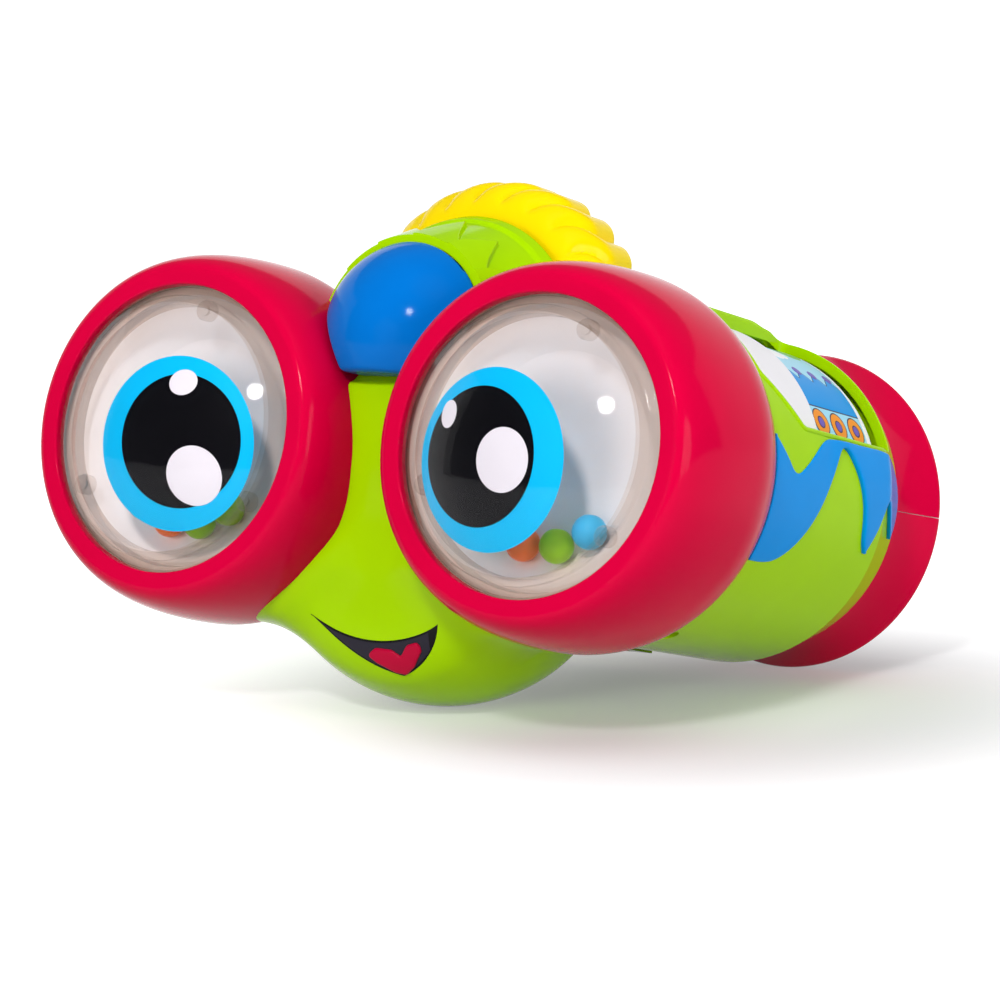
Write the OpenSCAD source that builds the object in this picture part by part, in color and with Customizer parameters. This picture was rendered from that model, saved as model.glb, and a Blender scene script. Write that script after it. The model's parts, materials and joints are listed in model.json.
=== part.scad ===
// Toy binoculars with two bead-filled eyes, a dome button, a turning wheel and two picture drums.
// Each sub-part is drawn in the toy's own frame: x to the right, y from the eyes back along the
// barrels, z up, with the barrel axes at z = 0. rested() then tips the toy onto its chin and cups.

/* [Barrels] */
// Outer radius of a barrel
barrel_r = 35.2; // [34.4:0.2:36]
// Space between the two bezels where they are widest
bezel_gap = 10.9; // [9.9:0.1:13]
// Wall of the moulded shells
shell_wall = 2; // [1.8:0.1:2.2]
// Rear end of the barrels, measured from the edge of the eyes
body_rear_y = 94; // [93:1:104]
// Length of the tapered rear end of the barrels
taper_len = 11.5; // [10:0.5:13]
// How much the barrels draw in along the taper
taper_drop = 3.6; // [3:0.1:4.2]

/* [Front bezels] */
// How far the bezel swells beyond the barrel
bezel_bulge = 3.3; // [2.8:0.1:4]
// How far the bezel lip reaches in over the lens
bezel_lip = 5.3; // [4.6:0.1:6]
// Width of the flat front of the bezel
bezel_flat = 3; // [2:0.1:4]
// Length of the rounded front shoulder
bezel_shoulder = 10; // [6:0.5:14]
// Where the bezel is widest
bezel_widest_y = 22.8; // [18:0.2:24]
// Rear end of the bezel
bezel_tail_y = 35.4; // [32:0.2:38]

/* [Eyes] */
// Radius of the clear lens dome's sphere
lens_dome_r = 50; // [44:1:60]
// Wall of the clear lens
lens_wall = 1.8; // [1.4:0.1:2.4]
// Thickness of the bezel lip in front of the lens flange
lip_t = 2.2; // [1.6:0.1:3]
// How far the edge of the iris stays inside the edge of the lens
iris_margin = 11.6; // [10.5:0.1:14]
// How far the iris sits towards the nose
iris_in = 5.4; // [3:0.1:6]
// How far the iris sits below the lens centre
iris_drop = 3.5; // [1:0.1:5]
// How far the bead dish lies inside the bezel lip
dish_inset = 7.1; // [5:0.1:9]
// Depth of the bead dish
dish_depth = 8.2; // [7.8:0.1:10]
// Wall of the bead dish
dish_wall = 1.5; // [1.2:0.1:2]
// Radius of a bead
bead_r = 3.5; // [3:0.1:3.6]

/* [Face] */
// Radius of the round chin
chin_r = 38; // [36:0.5:39]
// How far back the centre of the chin lies
chin_y = 40; // [38:0.5:42]
// How far the centre of the chin lies below the barrel axes
chin_drop = 13; // [11:0.5:15]
// Rear wall of the chin
chin_rear_y = 58; // [57:0.5:60]
// Front of the face at its upper edge
face_y = 10.9; // [9:0.1:13]
// Upper edge of the face above the barrel axes
face_top_z = 12.1; // [10:0.1:14]
// Depth of the face between the eyes
face_depth = 14; // [10:0.5:18]
// Half the width of the mouth
mouth_half_w = 15.8; // [13:0.1:18]
// Height of the mouth's corners below the barrel axes
mouth_drop = 35; // [33:0.1:37]
// How far the upper edge of the mouth sags
mouth_sag_top = 4.3; // [3:0.1:6]
// How far the lower edge of the mouth sags
mouth_sag_low = 10.8; // [9:0.1:12]
// Depth of the black mouth inlay
mouth_t = 1.2; // [0.8:0.1:1.6]
// Width of the tongue
tongue_w = 12; // [9:0.1:13]
// How far the tongue stands proud of the mouth
tongue_t = 0.6; // [0.4:0.1:1]

/* [Bridge and button] */
// Height of the bridge axis above the barrel axes
bridge_z = 23.4; // [22.6:0.2:24.4]
// Front edge of the bridge
bridge_front_y = 17.2; // [16:0.2:18.4]
// Rear edge of the bridge
bridge_rear_y = 38.4; // [37:0.2:39]
// Radius of the bridge at its front edge
bridge_front_r = 19.3; // [18.8:0.1:20.4]
// Radius of the bridge at its rear edge
bridge_rear_r = 27.4; // [25:0.2:29]
// Thickness of the bridge at its front edge
bridge_edge = 0.7; // [0.6:0.1:1.2]
// Width of the raised rim at the rear of the bridge
bridge_rim_w = 3.4; // [2.5:0.1:4.5]
// Height of that rim
bridge_rim_h = 0.8; // [0.5:0.1:1.2]
// Radius of the dome button's sphere
dome_r = 20.2; // [19.4:0.2:21]
// How far the dome button's front stands ahead of the bridge
dome_proud = 13.6; // [12:0.2:14.4]
// How far the dome button travels
button_travel = 2; // [1:0.1:2.5]
// Depth of the button skirt inside the bridge
skirt_depth = 6; // [4:0.5:8]

/* [Wheel] */
// Height of the wheel axis above the barrel axes
wheel_z = 28; // [27:0.2:29]
// How far the lobes reach past the circle on which the wheel meets the drums
lobe_over = 1.6; // [1.2:0.1:2]
// Radius of one lobe
lobe_r = 2.6; // [2.2:0.1:2.7]
// Front of the wheel's domed face
wheel_face_y = 40.2; // [39.6:0.1:42]
// Rear face of the wheel
wheel_rear_y = 58; // [57:0.2:59]
// Width of the lobed rim
wheel_rim_w = 9.5; // [8:0.5:11]

/* [Picture drums] */
// Clearance between the printed band and the narrowest bore round it
drum_clear = 0.4; // [0.3:0.1:2]
// Thickness of the printed band
band_t = 0.5; // [0.3:0.1:0.5]
// Rear end of the drum
drum_rear_y = 86; // [80:0.5:86.2]
// Wall of the drum
drum_wall = 1.8; // [1.4:0.1:2.4]
// Radius of one gear pin
pin_r = 1; // [0.8:0.05:1.1]
// Radius of the drum and wheel axles
axle_r = 2; // [1.5:0.1:2.5]
// Lower edge of the window, in degrees above the seam
window_low = 19; // [16:1:26]
// Upper edge of the window, in degrees above the seam
window_high = 84; // [78:1:86]
// Rear edge of the window
window_rear_y = 88; // [86.5:0.5:89]

/* [Rear cups] */
// How far the cup's lip stays inside the barrel's outer radius
cup_inset = 1.1; // [0.2:0.1:3]
// Length of the cup behind the barrel
cup_len = 16.4; // [14:0.2:20]
// Radius of the rounded lip
cup_lip_r = 1.6; // [1.2:0.1:2]
// How far the cup draws in where it meets the barrel
cup_waist = 5.2; // [4.2:0.2:7]
// Wall of the cup at its floor
cup_wall = 6; // [4:0.2:8]
// Thickness of the cup floor
cup_floor_t = 3; // [2.5:0.1:4]
// Radius of the eyepiece lens
eyepiece_r = 16; // [14:0.2:18]

/* [Battery box] */
// Half the width of the box under the body
box_half_w = 20; // [18.5:0.1:20.5]
// How far the underside of the box lies above the underside of the barrels
box_rise = 1; // [0:0.1:1.6]
// Front of the box
box_front_y = 44; // [43:0.2:44.4]
// Radius of a button cell
battery_r = 5.8; // [4.8:0.1:6.2]
// Thickness of a button cell
battery_t = 5.4; // [3.6:0.1:5.6]
// Thickness of the contact plates
contact_t = 0.4; // [0.3:0.05:0.5]
// Travel of the power slider
slider_travel = 4; // [3:0.1:4.5]

/* [Hidden] */
// Roundness of turned and drilled shapes
$fn = 96;
// Steps of a curved outline
curve_steps = 14;
// Overrun of every cut
over = 1;
// Clearance of seats that touch, of a running shaft, and of pieces that move past each other
fit = 0.05;
run = 0.05;
gap = 0.4;
// Space between the bezels and the pieces that nestle against them
cradle_gap = 0.45;
mid = 1 / 2;

// Bezels and eyes
bezel_bore_r = barrel_r + fit;
bezel_r = bezel_bore_r + bezel_bulge;
eye_x = bezel_r + bezel_gap * mid;
// A length that reaches past the whole toy
reach_share = 6;
reach = reach_share * eye_x;
lip_r = barrel_r - bezel_lip;
bezel_flat_r = lip_r + bezel_flat;
bezel_shoulder_share = 0.86;
bezel_shoulder_r = bezel_flat_r + (bezel_r - bezel_flat_r) * bezel_shoulder_share;
bezel_nose = 0.4;
bezel_fullness = 2.2;
lens_r = lip_r - gap;
lens_centre_y = sqrt(lens_dome_r * lens_dome_r - lens_r * lens_r);
lens_rise = lens_dome_r - lens_centre_y;
flange_y = lip_t;
dish_y = flange_y + lens_wall;
dish_floor_y = dish_y + dish_depth;
barrel_front_y = dish_y + dish_wall + fit;
film_t = 0.3;
iris_r = lens_r - iris_margin;
dish_r = lip_r - dish_inset;
bead_ring_r = dish_r - bead_r - gap;
bead_y = dish_floor_y - bead_r - gap;
bead_step = 2 * asin((bead_r + gap) / bead_ring_r);
bead_count = 4;
low_point = -90;

// Resting pose: the chin and the two cup lips stand on one plane
foot_cut = 0.5;
cup_r = barrel_r - cup_inset;
cup_rear_y = body_rear_y + fit + cup_len;
rest_a = cup_rear_y - cup_lip_r - chin_y;
rest_b = cup_r - cup_lip_r - chin_drop;
rest_k = chin_r - foot_cut - cup_lip_r;
pitch = asin(rest_k / sqrt(rest_a * rest_a + rest_b * rest_b)) - atan2(rest_b, rest_a);
foot_y = chin_y + (chin_r - foot_cut) * sin(pitch);
foot_z = -chin_drop - (chin_r - foot_cut) * cos(pitch);

// Face
face_slope = 0.15;
nestle_r = bezel_r + cradle_gap;
flare_r = 17;
flare_tail = 15;
flare_y = face_y + face_depth * mid;
chin_slice = chin_y - bezel_widest_y;
chin_slice_r = sqrt(chin_r * chin_r - chin_slice * chin_slice);
flare_bezel = nestle_r + flare_r;
flare_chin = chin_slice_r + flare_r;
flare_span = sqrt(eye_x * eye_x + chin_drop * chin_drop);
flare_squares = flare_bezel * flare_bezel - flare_chin * flare_chin + flare_span * flare_span;
flare_along = flare_squares / (2 * flare_span);
flare_across = sqrt(flare_bezel * flare_bezel - flare_along * flare_along);
flare_turn = atan2(-chin_drop, -eye_x);
flare_centre = [
    eye_x + flare_along * cos(flare_turn) - flare_across * sin(flare_turn),
    flare_along * sin(flare_turn) + flare_across * cos(flare_turn)
];
mouth_top_r = (mouth_half_w * mouth_half_w + mouth_sag_top * mouth_sag_top) / (2 * mouth_sag_top);
mouth_top_z = mouth_top_r - mouth_drop - mouth_sag_top;
tongue_x_share = 0.34;
tongue_x = mouth_half_w * tongue_x_share;
tongue_lobe_share = 0.25;
tongue_lobe_r = tongue_w * tongue_lobe_share;
tongue_z_share = 0.66;
tongue_z = -mouth_drop - mouth_sag_low * tongue_z_share;
speaker_r = 11;
speaker_t = 6;
speaker_lift = 10;
speaker_z = foot_z + shell_wall + speaker_lift;
speaker_y = box_front_y - gap - speaker_r;
sound_hole_r = 1;
sound_ring_r = 6;
sound_holes = 8;

// Bridge, button, spring and switch
dome_z = bridge_z;
dome_y = bridge_front_y - dome_proud + dome_r;
skirt_r = bridge_front_r - bridge_edge - gap;
dome_floor_gap = 1.9;
dome_floor_z = face_top_z + dome_floor_gap;
dome_wall = 2;
flank_r = nestle_r + cradle_gap;
switch_w = 6;
switch_t = 3.4;
web_t = 3;
web_y = bridge_rear_y - web_t;
switch_y = web_y - switch_t;
plunger_r = 1.6;
plunger_t = 1;
stem_r = 2.4;
stem_end_y = switch_y - plunger_t - button_travel - gap;
spring_wire_r = 0.5;
spring_r = 6.2;
spring_turns = 5;
spring_rings = 8;
spring_sides = 6;
spring_front_y = bridge_front_y + skirt_depth + spring_wire_r + fit;
spring_rear_y = web_y - spring_wire_r - fit;

// Wheel and the drum gears
wheel_lobes = 24;
drum_pins = 16;
gear_distance = sqrt(eye_x * eye_x + wheel_z * wheel_z);
pin_ring_r = gear_distance * drum_pins / (drum_pins + wheel_lobes);
wheel_r = gear_distance - pin_ring_r + lobe_over;
wheel_rim_y = wheel_rear_y - wheel_rim_w;
lobe_ring_r = wheel_r - lobe_r;
valley_drop = 0.7;
wheel_valley_r = lobe_ring_r - valley_drop;
wheel_face_share = 0.71;
wheel_face_r = wheel_r * wheel_face_share;
wheel_edge = 1.5;
wheel_gap = 0.6;
wheel_recess_y = wheel_rim_y + wheel_rim_w * mid;
hub_wall = 2.5;
hub_r = axle_r + hub_wall;
lobe_step = 360 / wheel_lobes;
pin_step = 360 / drum_pins;
right_line = atan2(-wheel_z, eye_x);
left_line = 180 - right_line;
first_valley = right_line;
left_lead = first_valley - left_line - lobe_step * floor((first_valley - left_line) / lobe_step);
right_pin = right_line + 180;
left_pin = left_line + 180 - left_lead * wheel_lobes / drum_pins;
axle_front_y = web_y + fit;
rear_web_y = wheel_rear_y + wheel_gap;
rear_web_t = 3;
click_t = 0.5;
click_y = wheel_rim_y + wheel_rim_w * mid;
click_w = 4;
click_sweep = 56;
click_post_w = 3;
click_post_h = 6;
click_r = wheel_r + gap;
click_seat_z = wheel_z - click_r - click_t - click_post_h;

// Picture drums and windows
bulkhead_t = 2;
bulkhead_y = bezel_tail_y - bulkhead_t;
barrel_bore_r = barrel_r - shell_wall;
taper_y = body_rear_y - taper_len;
drum_front_y = wheel_rear_y + wheel_gap;
hub_front_y = bulkhead_y + bulkhead_t + gap;
hub_rear_y = body_rear_y - shell_wall - gap;
drum_r = barrel_bore_r - taper_at(drum_rear_y) - drum_clear - band_t;
band_r = drum_r + band_t;
band_margin = 1.4;
pin_start = 2;
pin_front_y = wheel_rim_y + pin_start;
liner_t = 1.2;
liner_r = barrel_bore_r - fit;
liner_front_y = bezel_tail_y + fit;
liner_rear_y = drum_front_y - gap;
window_mid = 52;
window_margin = 1.6;
window_front_y = bezel_tail_y + window_margin;
window_nose = 36;
window_slant = 13;
window_low_y = bezel_tail_y + window_slant;
window_round = 2.5;
corner_steps = 4;
trim_t = 1;
trim_round = 1.3;

// Upper shell: the saddle behind the wheel and the fairing on it
saddle_z = 16;
fairing_r = 24;
fairing_z = bridge_z;
fairing_len = 31;

// Screws
screw_r = 1.25;
screw_head_r = 2;
screw_head_t = 1.6;
post_r = 3;
front_screw_y = bezel_tail_y + post_r - fit;
front_screw_out = 13;
front_screw_x = eye_x + front_screw_out;
rear_screw_y = drum_rear_y + gap + post_r;
rear_screw_x = 15.5;
screw_grip = 9;
post_top = 11;

// Rear cups
cup_y = body_rear_y + fit;
cup_neck_r = barrel_r - cup_waist;
cup_floor_r = cup_neck_r - cup_wall;
eyepiece_t = 2;
eyepiece_crown_r = 60;

// Battery box and electronics
box_floor_z = box_rise - barrel_r;
box_in_z = box_floor_z + shell_wall;
battery_count = 3;
battery_lift = 0.2;
bay_wall = 1.4;
bay_half_w = battery_r + battery_lift;
bay_back = 6;
bay_rear_y = body_rear_y - shell_wall - bay_back;
bay_len = battery_count * battery_t + 2 * contact_t + (battery_count + 3) * fit;
bay_front_y = bay_rear_y - bay_len;
battery_y = bay_front_y + contact_t + 2 * fit;
battery_z = box_in_z + battery_lift + battery_r;
bay_roof_z = battery_z + battery_r + battery_lift;
door_lip = 1;
door_half_w = bay_half_w + door_lip;
door_front_y = bay_front_y - door_lip;
door_rear_y = bay_rear_y + door_lip;
door_ear_x = bay_half_w + bay_wall + screw_head_r;
door_ear_wall = 0.8;
door_ear_r = screw_head_r + door_ear_wall;
door_ear_y = mid * (door_front_y + door_rear_y);
door_boss = 7;
board_half_w = 8;
board_t = 1.6;
board_lift = 2;
board_y = bay_front_y - bay_wall;
board_len = bay_len + 2 * bay_wall;
board_z = bay_roof_z + bay_wall + board_lift;
board_rail_w = 2;
chip_w = 7;
chip_t = 1.5;
slider_w = 2.4;
slider_len = 5;
slider_proud = 1.2;
slider_flange = 0.5;
slider_flange_t = 1;
slider_margin = 1.5;
slider_x = -(bay_half_w + bay_wall + slider_margin + slider_w * mid + slider_flange + gap);
slider_y = door_ear_y;
power_switch_h = 4;
power_switch_len = 11;

// Colours
lime = "#9bcb1e";
crimson = "#c20032";
sky = "#028ddf";
sun = "#fef01b";
white_plastic = "#f2eef4";
clear_plastic = "#dfe6ea";
black_plastic = "#1c1a20";
steel = "#b9bcc0";
board_green = "#1f6b3a";

// Face height at which the sloped face lies, and helpers that place shapes

function face_plane_y(z) = face_y + face_slope * (face_top_z - z);

// Points of a quarter ellipse from the first axis to the second
function quarter(centre, half_r, half_y, from, to) = [
    for (k = [0 : curve_steps])
        let (a = from + (to - from) * k / curve_steps)
        [centre[0] + half_r * cos(a), centre[1] + half_y * sin(a)]
];

module rested() {
    rotate([-pitch, 0, 0]) translate([0, -foot_y, -foot_z]) children();
}

module below_floor() {
    translate([0, foot_y, foot_z]) rotate([pitch, 0, 0])
        translate([-reach, -reach, -reach]) cube([2 * reach, 2 * reach, reach]);
}

// Turns a shape drawn along z so that it runs along y from y0
module along_y(x, y0, z) {
    translate([x, y0, z]) rotate([-90, 0, 0]) children();
}

// Turns an outline in r and y about the line through x and z
module spin_y(x, z) {
    along_y(x, 0, z) rotate_extrude() children();
}

module rod(x, z, y0, y1, r) {
    along_y(x, y0, z) cylinder(r = r, h = y1 - y0);
}

// An outline in x and z made solid from y0 to y1
module slab_y(y0, y1) {
    translate([0, y1, 0]) rotate([90, 0, 0]) linear_extrude(y1 - y0) children();
}

// An outline in y and z made solid across x0 to x1
module slab_x(x0, x1) {
    translate([x0, 0, 0]) rotate([90, 0, 90]) linear_extrude(x1 - x0) children();
}

module block(x0, x1, y0, y1, z0, z1) {
    translate([x0, y0, z0]) cube([x1 - x0, y1 - y0, z1 - z0]);
}

module above_seam() {
    block(-reach, reach, -reach, reach, 0, reach);
}

module below_seam() {
    block(-reach, reach, -reach, reach, -reach, 0);
}

// Draws the right-hand piece, or its mirror image for the left
module sided(side) {
    if (side < 0) {
        mirror([1, 0, 0]) children();
    } else {
        children();
    }
}

module both_sides() {
    for (side = [-1, 1]) sided(side) children();
}

// Common forms

// One barrel as a closed solid with a tapered rear end, drawn in by inset
module barrel_form(inset) {
    tail = body_rear_y - inset;
    lead = inset > 0 ? over : 0;
    spin_y(eye_x, 0) polygon([
        [0, barrel_front_y - lead], [barrel_r - inset, barrel_front_y - lead],
        [barrel_r - inset, taper_y], [barrel_r - taper_at(tail) - inset, tail], [0, tail]
    ]);
}

// The box between the barrels, drawn in by inset
module box_form(inset) {
    block(-box_half_w + inset, box_half_w - inset, box_front_y + inset, body_rear_y - inset,
        box_floor_z + inset, over);
}

// The saddle between the barrels behind the wheel, drawn in by inset
module saddle_form(inset) {
    block(-box_half_w + inset, box_half_w - inset, rear_web_y + inset, body_rear_y - inset,
        -over, saddle_z - inset);
}

// The rounded fairing that carries the rear end of the wheel axle
module fairing_form(inset) {
    start_y = rear_web_y + (inset > 0 ? rear_web_t : 0);
    end_y = rear_web_y + fairing_len - inset;
    spin_y(0, fairing_z) polygon(concat(
        [[0, start_y]],
        quarter([0, start_y], fairing_r - inset, end_y - start_y, 0, 90)
    ));
}

module body_form(inset) {
    both_sides() barrel_form(inset);
    box_form(inset);
    saddle_form(inset);
}

// Space swept by the wheel, with clearance
module wheel_space() {
    spin_y(0, wheel_z) polygon(concat(
        [[0, wheel_face_y - wheel_gap]],
        quarter([wheel_face_r, wheel_rim_y + wheel_edge], wheel_r - wheel_face_r + wheel_gap,
            wheel_rim_y + wheel_edge - wheel_face_y + wheel_gap, -90, 0),
        [[wheel_r + wheel_gap, wheel_rear_y + wheel_gap], [0, wheel_rear_y + wheel_gap]]
    ));
}

// Bezel and barrel outlines, grown to cut the pieces that nestle between them
module nestle_cut(grow_r) {
    both_sides() {
        rod(eye_x, 0, -reach, bezel_tail_y + cradle_gap, grow_r);
        rod(eye_x, 0, 0, reach, barrel_r + fit);
    }
}

// Half discs that hold the front ends of the drum axles
module bulkheads() {
    both_sides() rod(eye_x, 0, bulkhead_y, bulkhead_y + bulkhead_t, barrel_bore_r + fit);
}

module axle_bores() {
    both_sides() rod(eye_x, 0, bulkhead_y - over, body_rear_y + over, axle_r);
}

// Outline of the window, in degrees round the barrel and y, laid flat across its middle
function window_point(y, a) = [barrel_r * sin(window_mid - a), y];

function between(p, q, d) = p + (q - p) * d / norm(q - p);

// A curve from a to b that leaves and arrives along the lines to c
function bend(a, c, b, steps) = [
    for (k = [0 : steps])
        let (t = k / steps)
        (1 - t) * (1 - t) * a + 2 * t * (1 - t) * c + t * t * b
];

// How much the barrel has drawn in at y
function taper_at(y) = taper_drop * max(0, y - taper_y) / taper_len;

// An outline whose corners become curves that start and end a distance d from them
function soft_outline(points, d) = [
    for (k = [0 : len(points) - 1])
        let (c = points[k])
        let (before = points[(k + len(points) - 1) % len(points)])
        let (after = points[(k + 1) % len(points)])
        each bend(between(c, before, d), c, between(c, after, d), corner_steps)
];

module window_cut(points) {
    translate([eye_x, 0, 0]) rotate([0, -window_mid, 0]) rotate([0, 90, 0])
        linear_extrude(barrel_r + over) polygon(points);
}

window_points = soft_outline([
    window_point(window_low_y, window_low), window_point(window_front_y, window_nose),
    window_point(window_front_y, window_high), window_point(window_rear_y, window_high),
    window_point(window_rear_y, window_low)
], window_round);

// Posts for the screws that hold the shells together
module screw_places() {
    both_sides() {
        translate([front_screw_x, front_screw_y, 0]) children();
        translate([rear_screw_x, rear_screw_y, 0]) children();
    }
}

// Shells

module upper_shell() {
    color(lime) difference() {
        union() {
            intersection() {
                difference() {
                    body_form(0);
                    body_form(shell_wall);
                }
                above_seam();
            }
            intersection() {
                difference() {
                    bulkheads();
                    axle_bores();
                }
                above_seam();
            }
            difference() {
                fairing_form(0);
                fairing_form(shell_wall);
                both_sides() rod(eye_x, 0, 0, reach, barrel_bore_r);
                block(-reach, reach, -reach, reach, -reach, saddle_z - shell_wall);
            }
            intersection() {
                screw_places() cylinder(r = post_r, h = post_top);
                body_form(0);
            }
        }
        wheel_space();
        both_sides() window_cut(window_points);
        rod(0, wheel_z, 0, rear_web_y + rear_web_t + over, axle_r);
        axle_bores();
        screw_places() translate([0, 0, -over]) cylinder(r = screw_r, h = screw_grip + over);
    }
}

module door_outline(grow) {
    translate([-door_half_w - grow, door_front_y - grow])
        square([2 * (door_half_w + grow), door_rear_y - door_front_y + 2 * grow]);
    translate([0, door_ear_y - door_ear_r - grow])
        square([door_ear_x, 2 * (door_ear_r + grow)]);
    translate([door_ear_x, door_ear_y]) circle(r = door_ear_r + grow);
}

module lower_shell() {
    color(lime) difference() {
        union() {
            intersection() {
                difference() {
                    body_form(0);
                    body_form(shell_wall);
                }
                below_seam();
            }
            intersection() {
                difference() {
                    bulkheads();
                    axle_bores();
                }
                below_seam();
            }
            battery_bay();
            block(-click_post_w, click_post_w, click_y - click_w * mid, click_y + click_w * mid,
                box_in_z - fit, click_seat_z);
            intersection() {
                union() {
                    screw_places() translate([0, 0, -reach]) cylinder(r = post_r, h = reach);
                    translate([door_ear_x, door_ear_y, box_floor_z])
                        cylinder(r = screw_head_r, h = shell_wall + door_boss);
                    block(bay_half_w + fit, door_ear_x, door_ear_y - screw_head_r, door_ear_y + screw_head_r,
                        box_in_z, box_in_z + door_boss);
                }
                body_form(0);
            }
        }
        wheel_space();
        axle_bores();
        translate([0, 0, box_floor_z - over]) linear_extrude(shell_wall + over) door_outline(fit);
        translate([door_ear_x, door_ear_y, box_floor_z]) cylinder(r = screw_r, h = shell_wall + door_boss);
        screw_places() translate([0, 0, -reach]) cylinder(r = screw_r, h = reach + over);
        screw_places() translate([0, 0, -reach]) cylinder(r = screw_head_r + fit, h = reach - screw_grip);
        block(slider_x - slider_w * mid - gap, slider_x + slider_w * mid + gap,
            slider_y - slider_len * mid - gap, slider_y + slider_len * mid + slider_travel + gap,
            box_floor_z - over, box_in_z + over);
    }
}

// Walls and roof of the battery bay, with rails for the circuit board
module battery_bay() {
    difference() {
        block(-bay_half_w - bay_wall, bay_half_w + bay_wall, bay_front_y - bay_wall, bay_rear_y + bay_wall,
            box_in_z - fit, bay_roof_z + bay_wall);
        block(-bay_half_w, bay_half_w, bay_front_y, bay_rear_y, box_floor_z, bay_roof_z);
    }
    for (side = [-1, 1])
        translate([side * (board_half_w - board_rail_w) - board_rail_w * mid, board_y, bay_roof_z])
            cube([board_rail_w, board_len, bay_wall + board_lift]);
}

// The chin and face as one solid, drawn in by inset
module face_form(inset) {
    intersection() {
        translate([0, chin_y, -chin_drop]) sphere(r = chin_r - inset);
        slab_x(-reach, reach) polygon([
            [face_plane_y(-reach) + inset, -reach], [chin_rear_y - inset, -reach],
            [chin_rear_y - inset, reach], [face_plane_y(reach) + inset, reach]
        ]);
    }
}

module face_column() {
    slab_x(-box_half_w, box_half_w) polygon([
        [face_plane_y(-chin_drop), -chin_drop], [face_plane_y(-chin_drop) + face_depth, -chin_drop],
        [face_plane_y(face_top_z) + face_depth, face_top_z], [face_plane_y(face_top_z), face_top_z]
    ]);
}

// Hollow flares that carry the chin's edge up to the bezels, tangent to both
module flares() {
    both_sides() slab_y(flare_y, bezel_tail_y + flare_tail) difference() {
        polygon([[eye_x, 0], [0, -chin_drop], flare_centre]);
        translate(flare_centre) circle(r = flare_r);
        translate([0, -chin_drop]) circle(r = chin_slice_r - shell_wall);
    }
}

module face_shell() {
    color(lime) difference() {
        union() {
            difference() {
                face_form(0);
                face_form(shell_wall);
            }
            face_column();
            flares();
            intersection() {
                translate([0, speaker_y, -reach]) difference() {
                    cylinder(r = speaker_r + shell_wall, h = reach + speaker_z - fit);
                    cylinder(r = speaker_r - shell_wall, h = reach + speaker_z);
                }
                face_form(fit);
            }
        }
        block(-reach, reach, -reach, reach, face_top_z, reach);
        nestle_cut(nestle_r);
        box_clear();
        mouth_solid(fit, 0, mouth_t);
        below_floor();
        for (k = [0 : sound_holes - 1])
            rotate_about(speaker_y, k * 360 / sound_holes) translate([0, 0, -reach])
                cylinder(r = sound_hole_r, h = reach - chin_drop);
    }
}

module rotate_about(y, a) {
    translate([0, y, 0]) rotate([0, 0, a]) translate([sound_ring_r, 0, 0]) children();
}

// Room for the battery box behind the chin
module box_clear() {
    block(-box_half_w - fit, box_half_w + fit, box_front_y - fit, reach, box_floor_z - fit, reach);
}

// The mouth's corners, its lowest point and the two points that its lower edge bends towards, as
// shares of its half width and of its sag
mouth_shares = [[-1, 0], [-0.28, 0.86], [0.36, 1], [0.88, 0.71], [1, 0]];

function mouth_point(p, grow) = [p[0] * (mouth_half_w + grow), -mouth_drop - p[1] * (mouth_sag_low + grow)];

module mouth_outline(grow) {
    p = [for (share = mouth_shares) mouth_point(share, grow)];
    polygon(concat(bend(p[0], p[1], p[2], curve_steps), bend(p[2], p[3], p[4], curve_steps)));
}

// A lopsided crescent through the face between two depths below its surface
module mouth_solid(grow, outer, inner) {
    intersection() {
        slab_y(-reach, chin_y) difference() {
            mouth_outline(grow);
            translate([0, mouth_top_z]) circle(r = mouth_top_r - grow);
        }
        difference() {
            face_form(outer);
            face_form(inner);
        }
    }
}

module mouth_inlay() {
    color(black_plastic) mouth_solid(0, 0, mouth_t);
}

module tongue() {
    color(crimson) intersection() {
        slab_y(-reach, chin_y) intersection() {
            union() {
                for (side = [-1, 1])
                    translate([tongue_x + side * tongue_lobe_r, tongue_z]) circle(r = tongue_lobe_r);
                translate([tongue_x, tongue_z]) rotate([0, 0, -45])
                    translate([-tongue_lobe_r, -tongue_lobe_r]) square(2 * tongue_lobe_r);
            }
            mouth_outline(-tongue_t);
        }
        difference() {
            face_form(-tongue_t);
            face_form(0);
        }
    }
}

// Bridge, button, spring and switch

// The bridge's hollow, straight where the button slides and then opening out to the wheel
module bridge_hollow() {
    rod(0, bridge_z, bridge_front_y - over, bridge_rear_y, bridge_front_r - bridge_edge);
    along_y(0, bridge_front_y, bridge_z)
        cylinder(r1 = bridge_front_r - bridge_edge, r2 = bridge_rear_r - shell_wall,
            h = bridge_rear_y - bridge_front_y);
}

module bridge_cover() {
    color(lime) difference() {
        union() {
            difference() {
                union() {
                    along_y(0, bridge_front_y, bridge_z)
                        cylinder(r1 = bridge_front_r, r2 = bridge_rear_r, h = bridge_rear_y - bridge_front_y);
                    rod(0, bridge_z, bridge_rear_y - bridge_rim_w, bridge_rear_y,
                        bridge_rear_r + bridge_rim_h);
                }
                bridge_hollow();
            }
            rod(0, bridge_z, web_y, bridge_rear_y, bridge_rear_r);
        }
        block(-reach, reach, -reach, reach, -reach, face_top_z + fit);
        nestle_cut(nestle_r);
        rod(0, wheel_z, web_y + fit, bridge_rear_y + over, axle_r);
    }
}

// The button as a closed solid, drawn in by inset and cut to fit between the bezels
module button_form(inset) {
    difference() {
        union() {
            intersection() {
                translate([0, dome_y, dome_z]) sphere(r = dome_r - inset);
                rod(0, dome_z, -reach, bridge_front_y, skirt_r - inset);
            }
            rod(0, dome_z, bridge_front_y - over, bridge_front_y + skirt_depth + (inset > 0 ? over : 0),
                skirt_r - inset);
        }
        both_sides() rod(eye_x, 0, -reach, reach, flank_r + inset);
        block(-reach, reach, -reach, reach, -reach, dome_floor_z + inset);
    }
}

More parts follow.
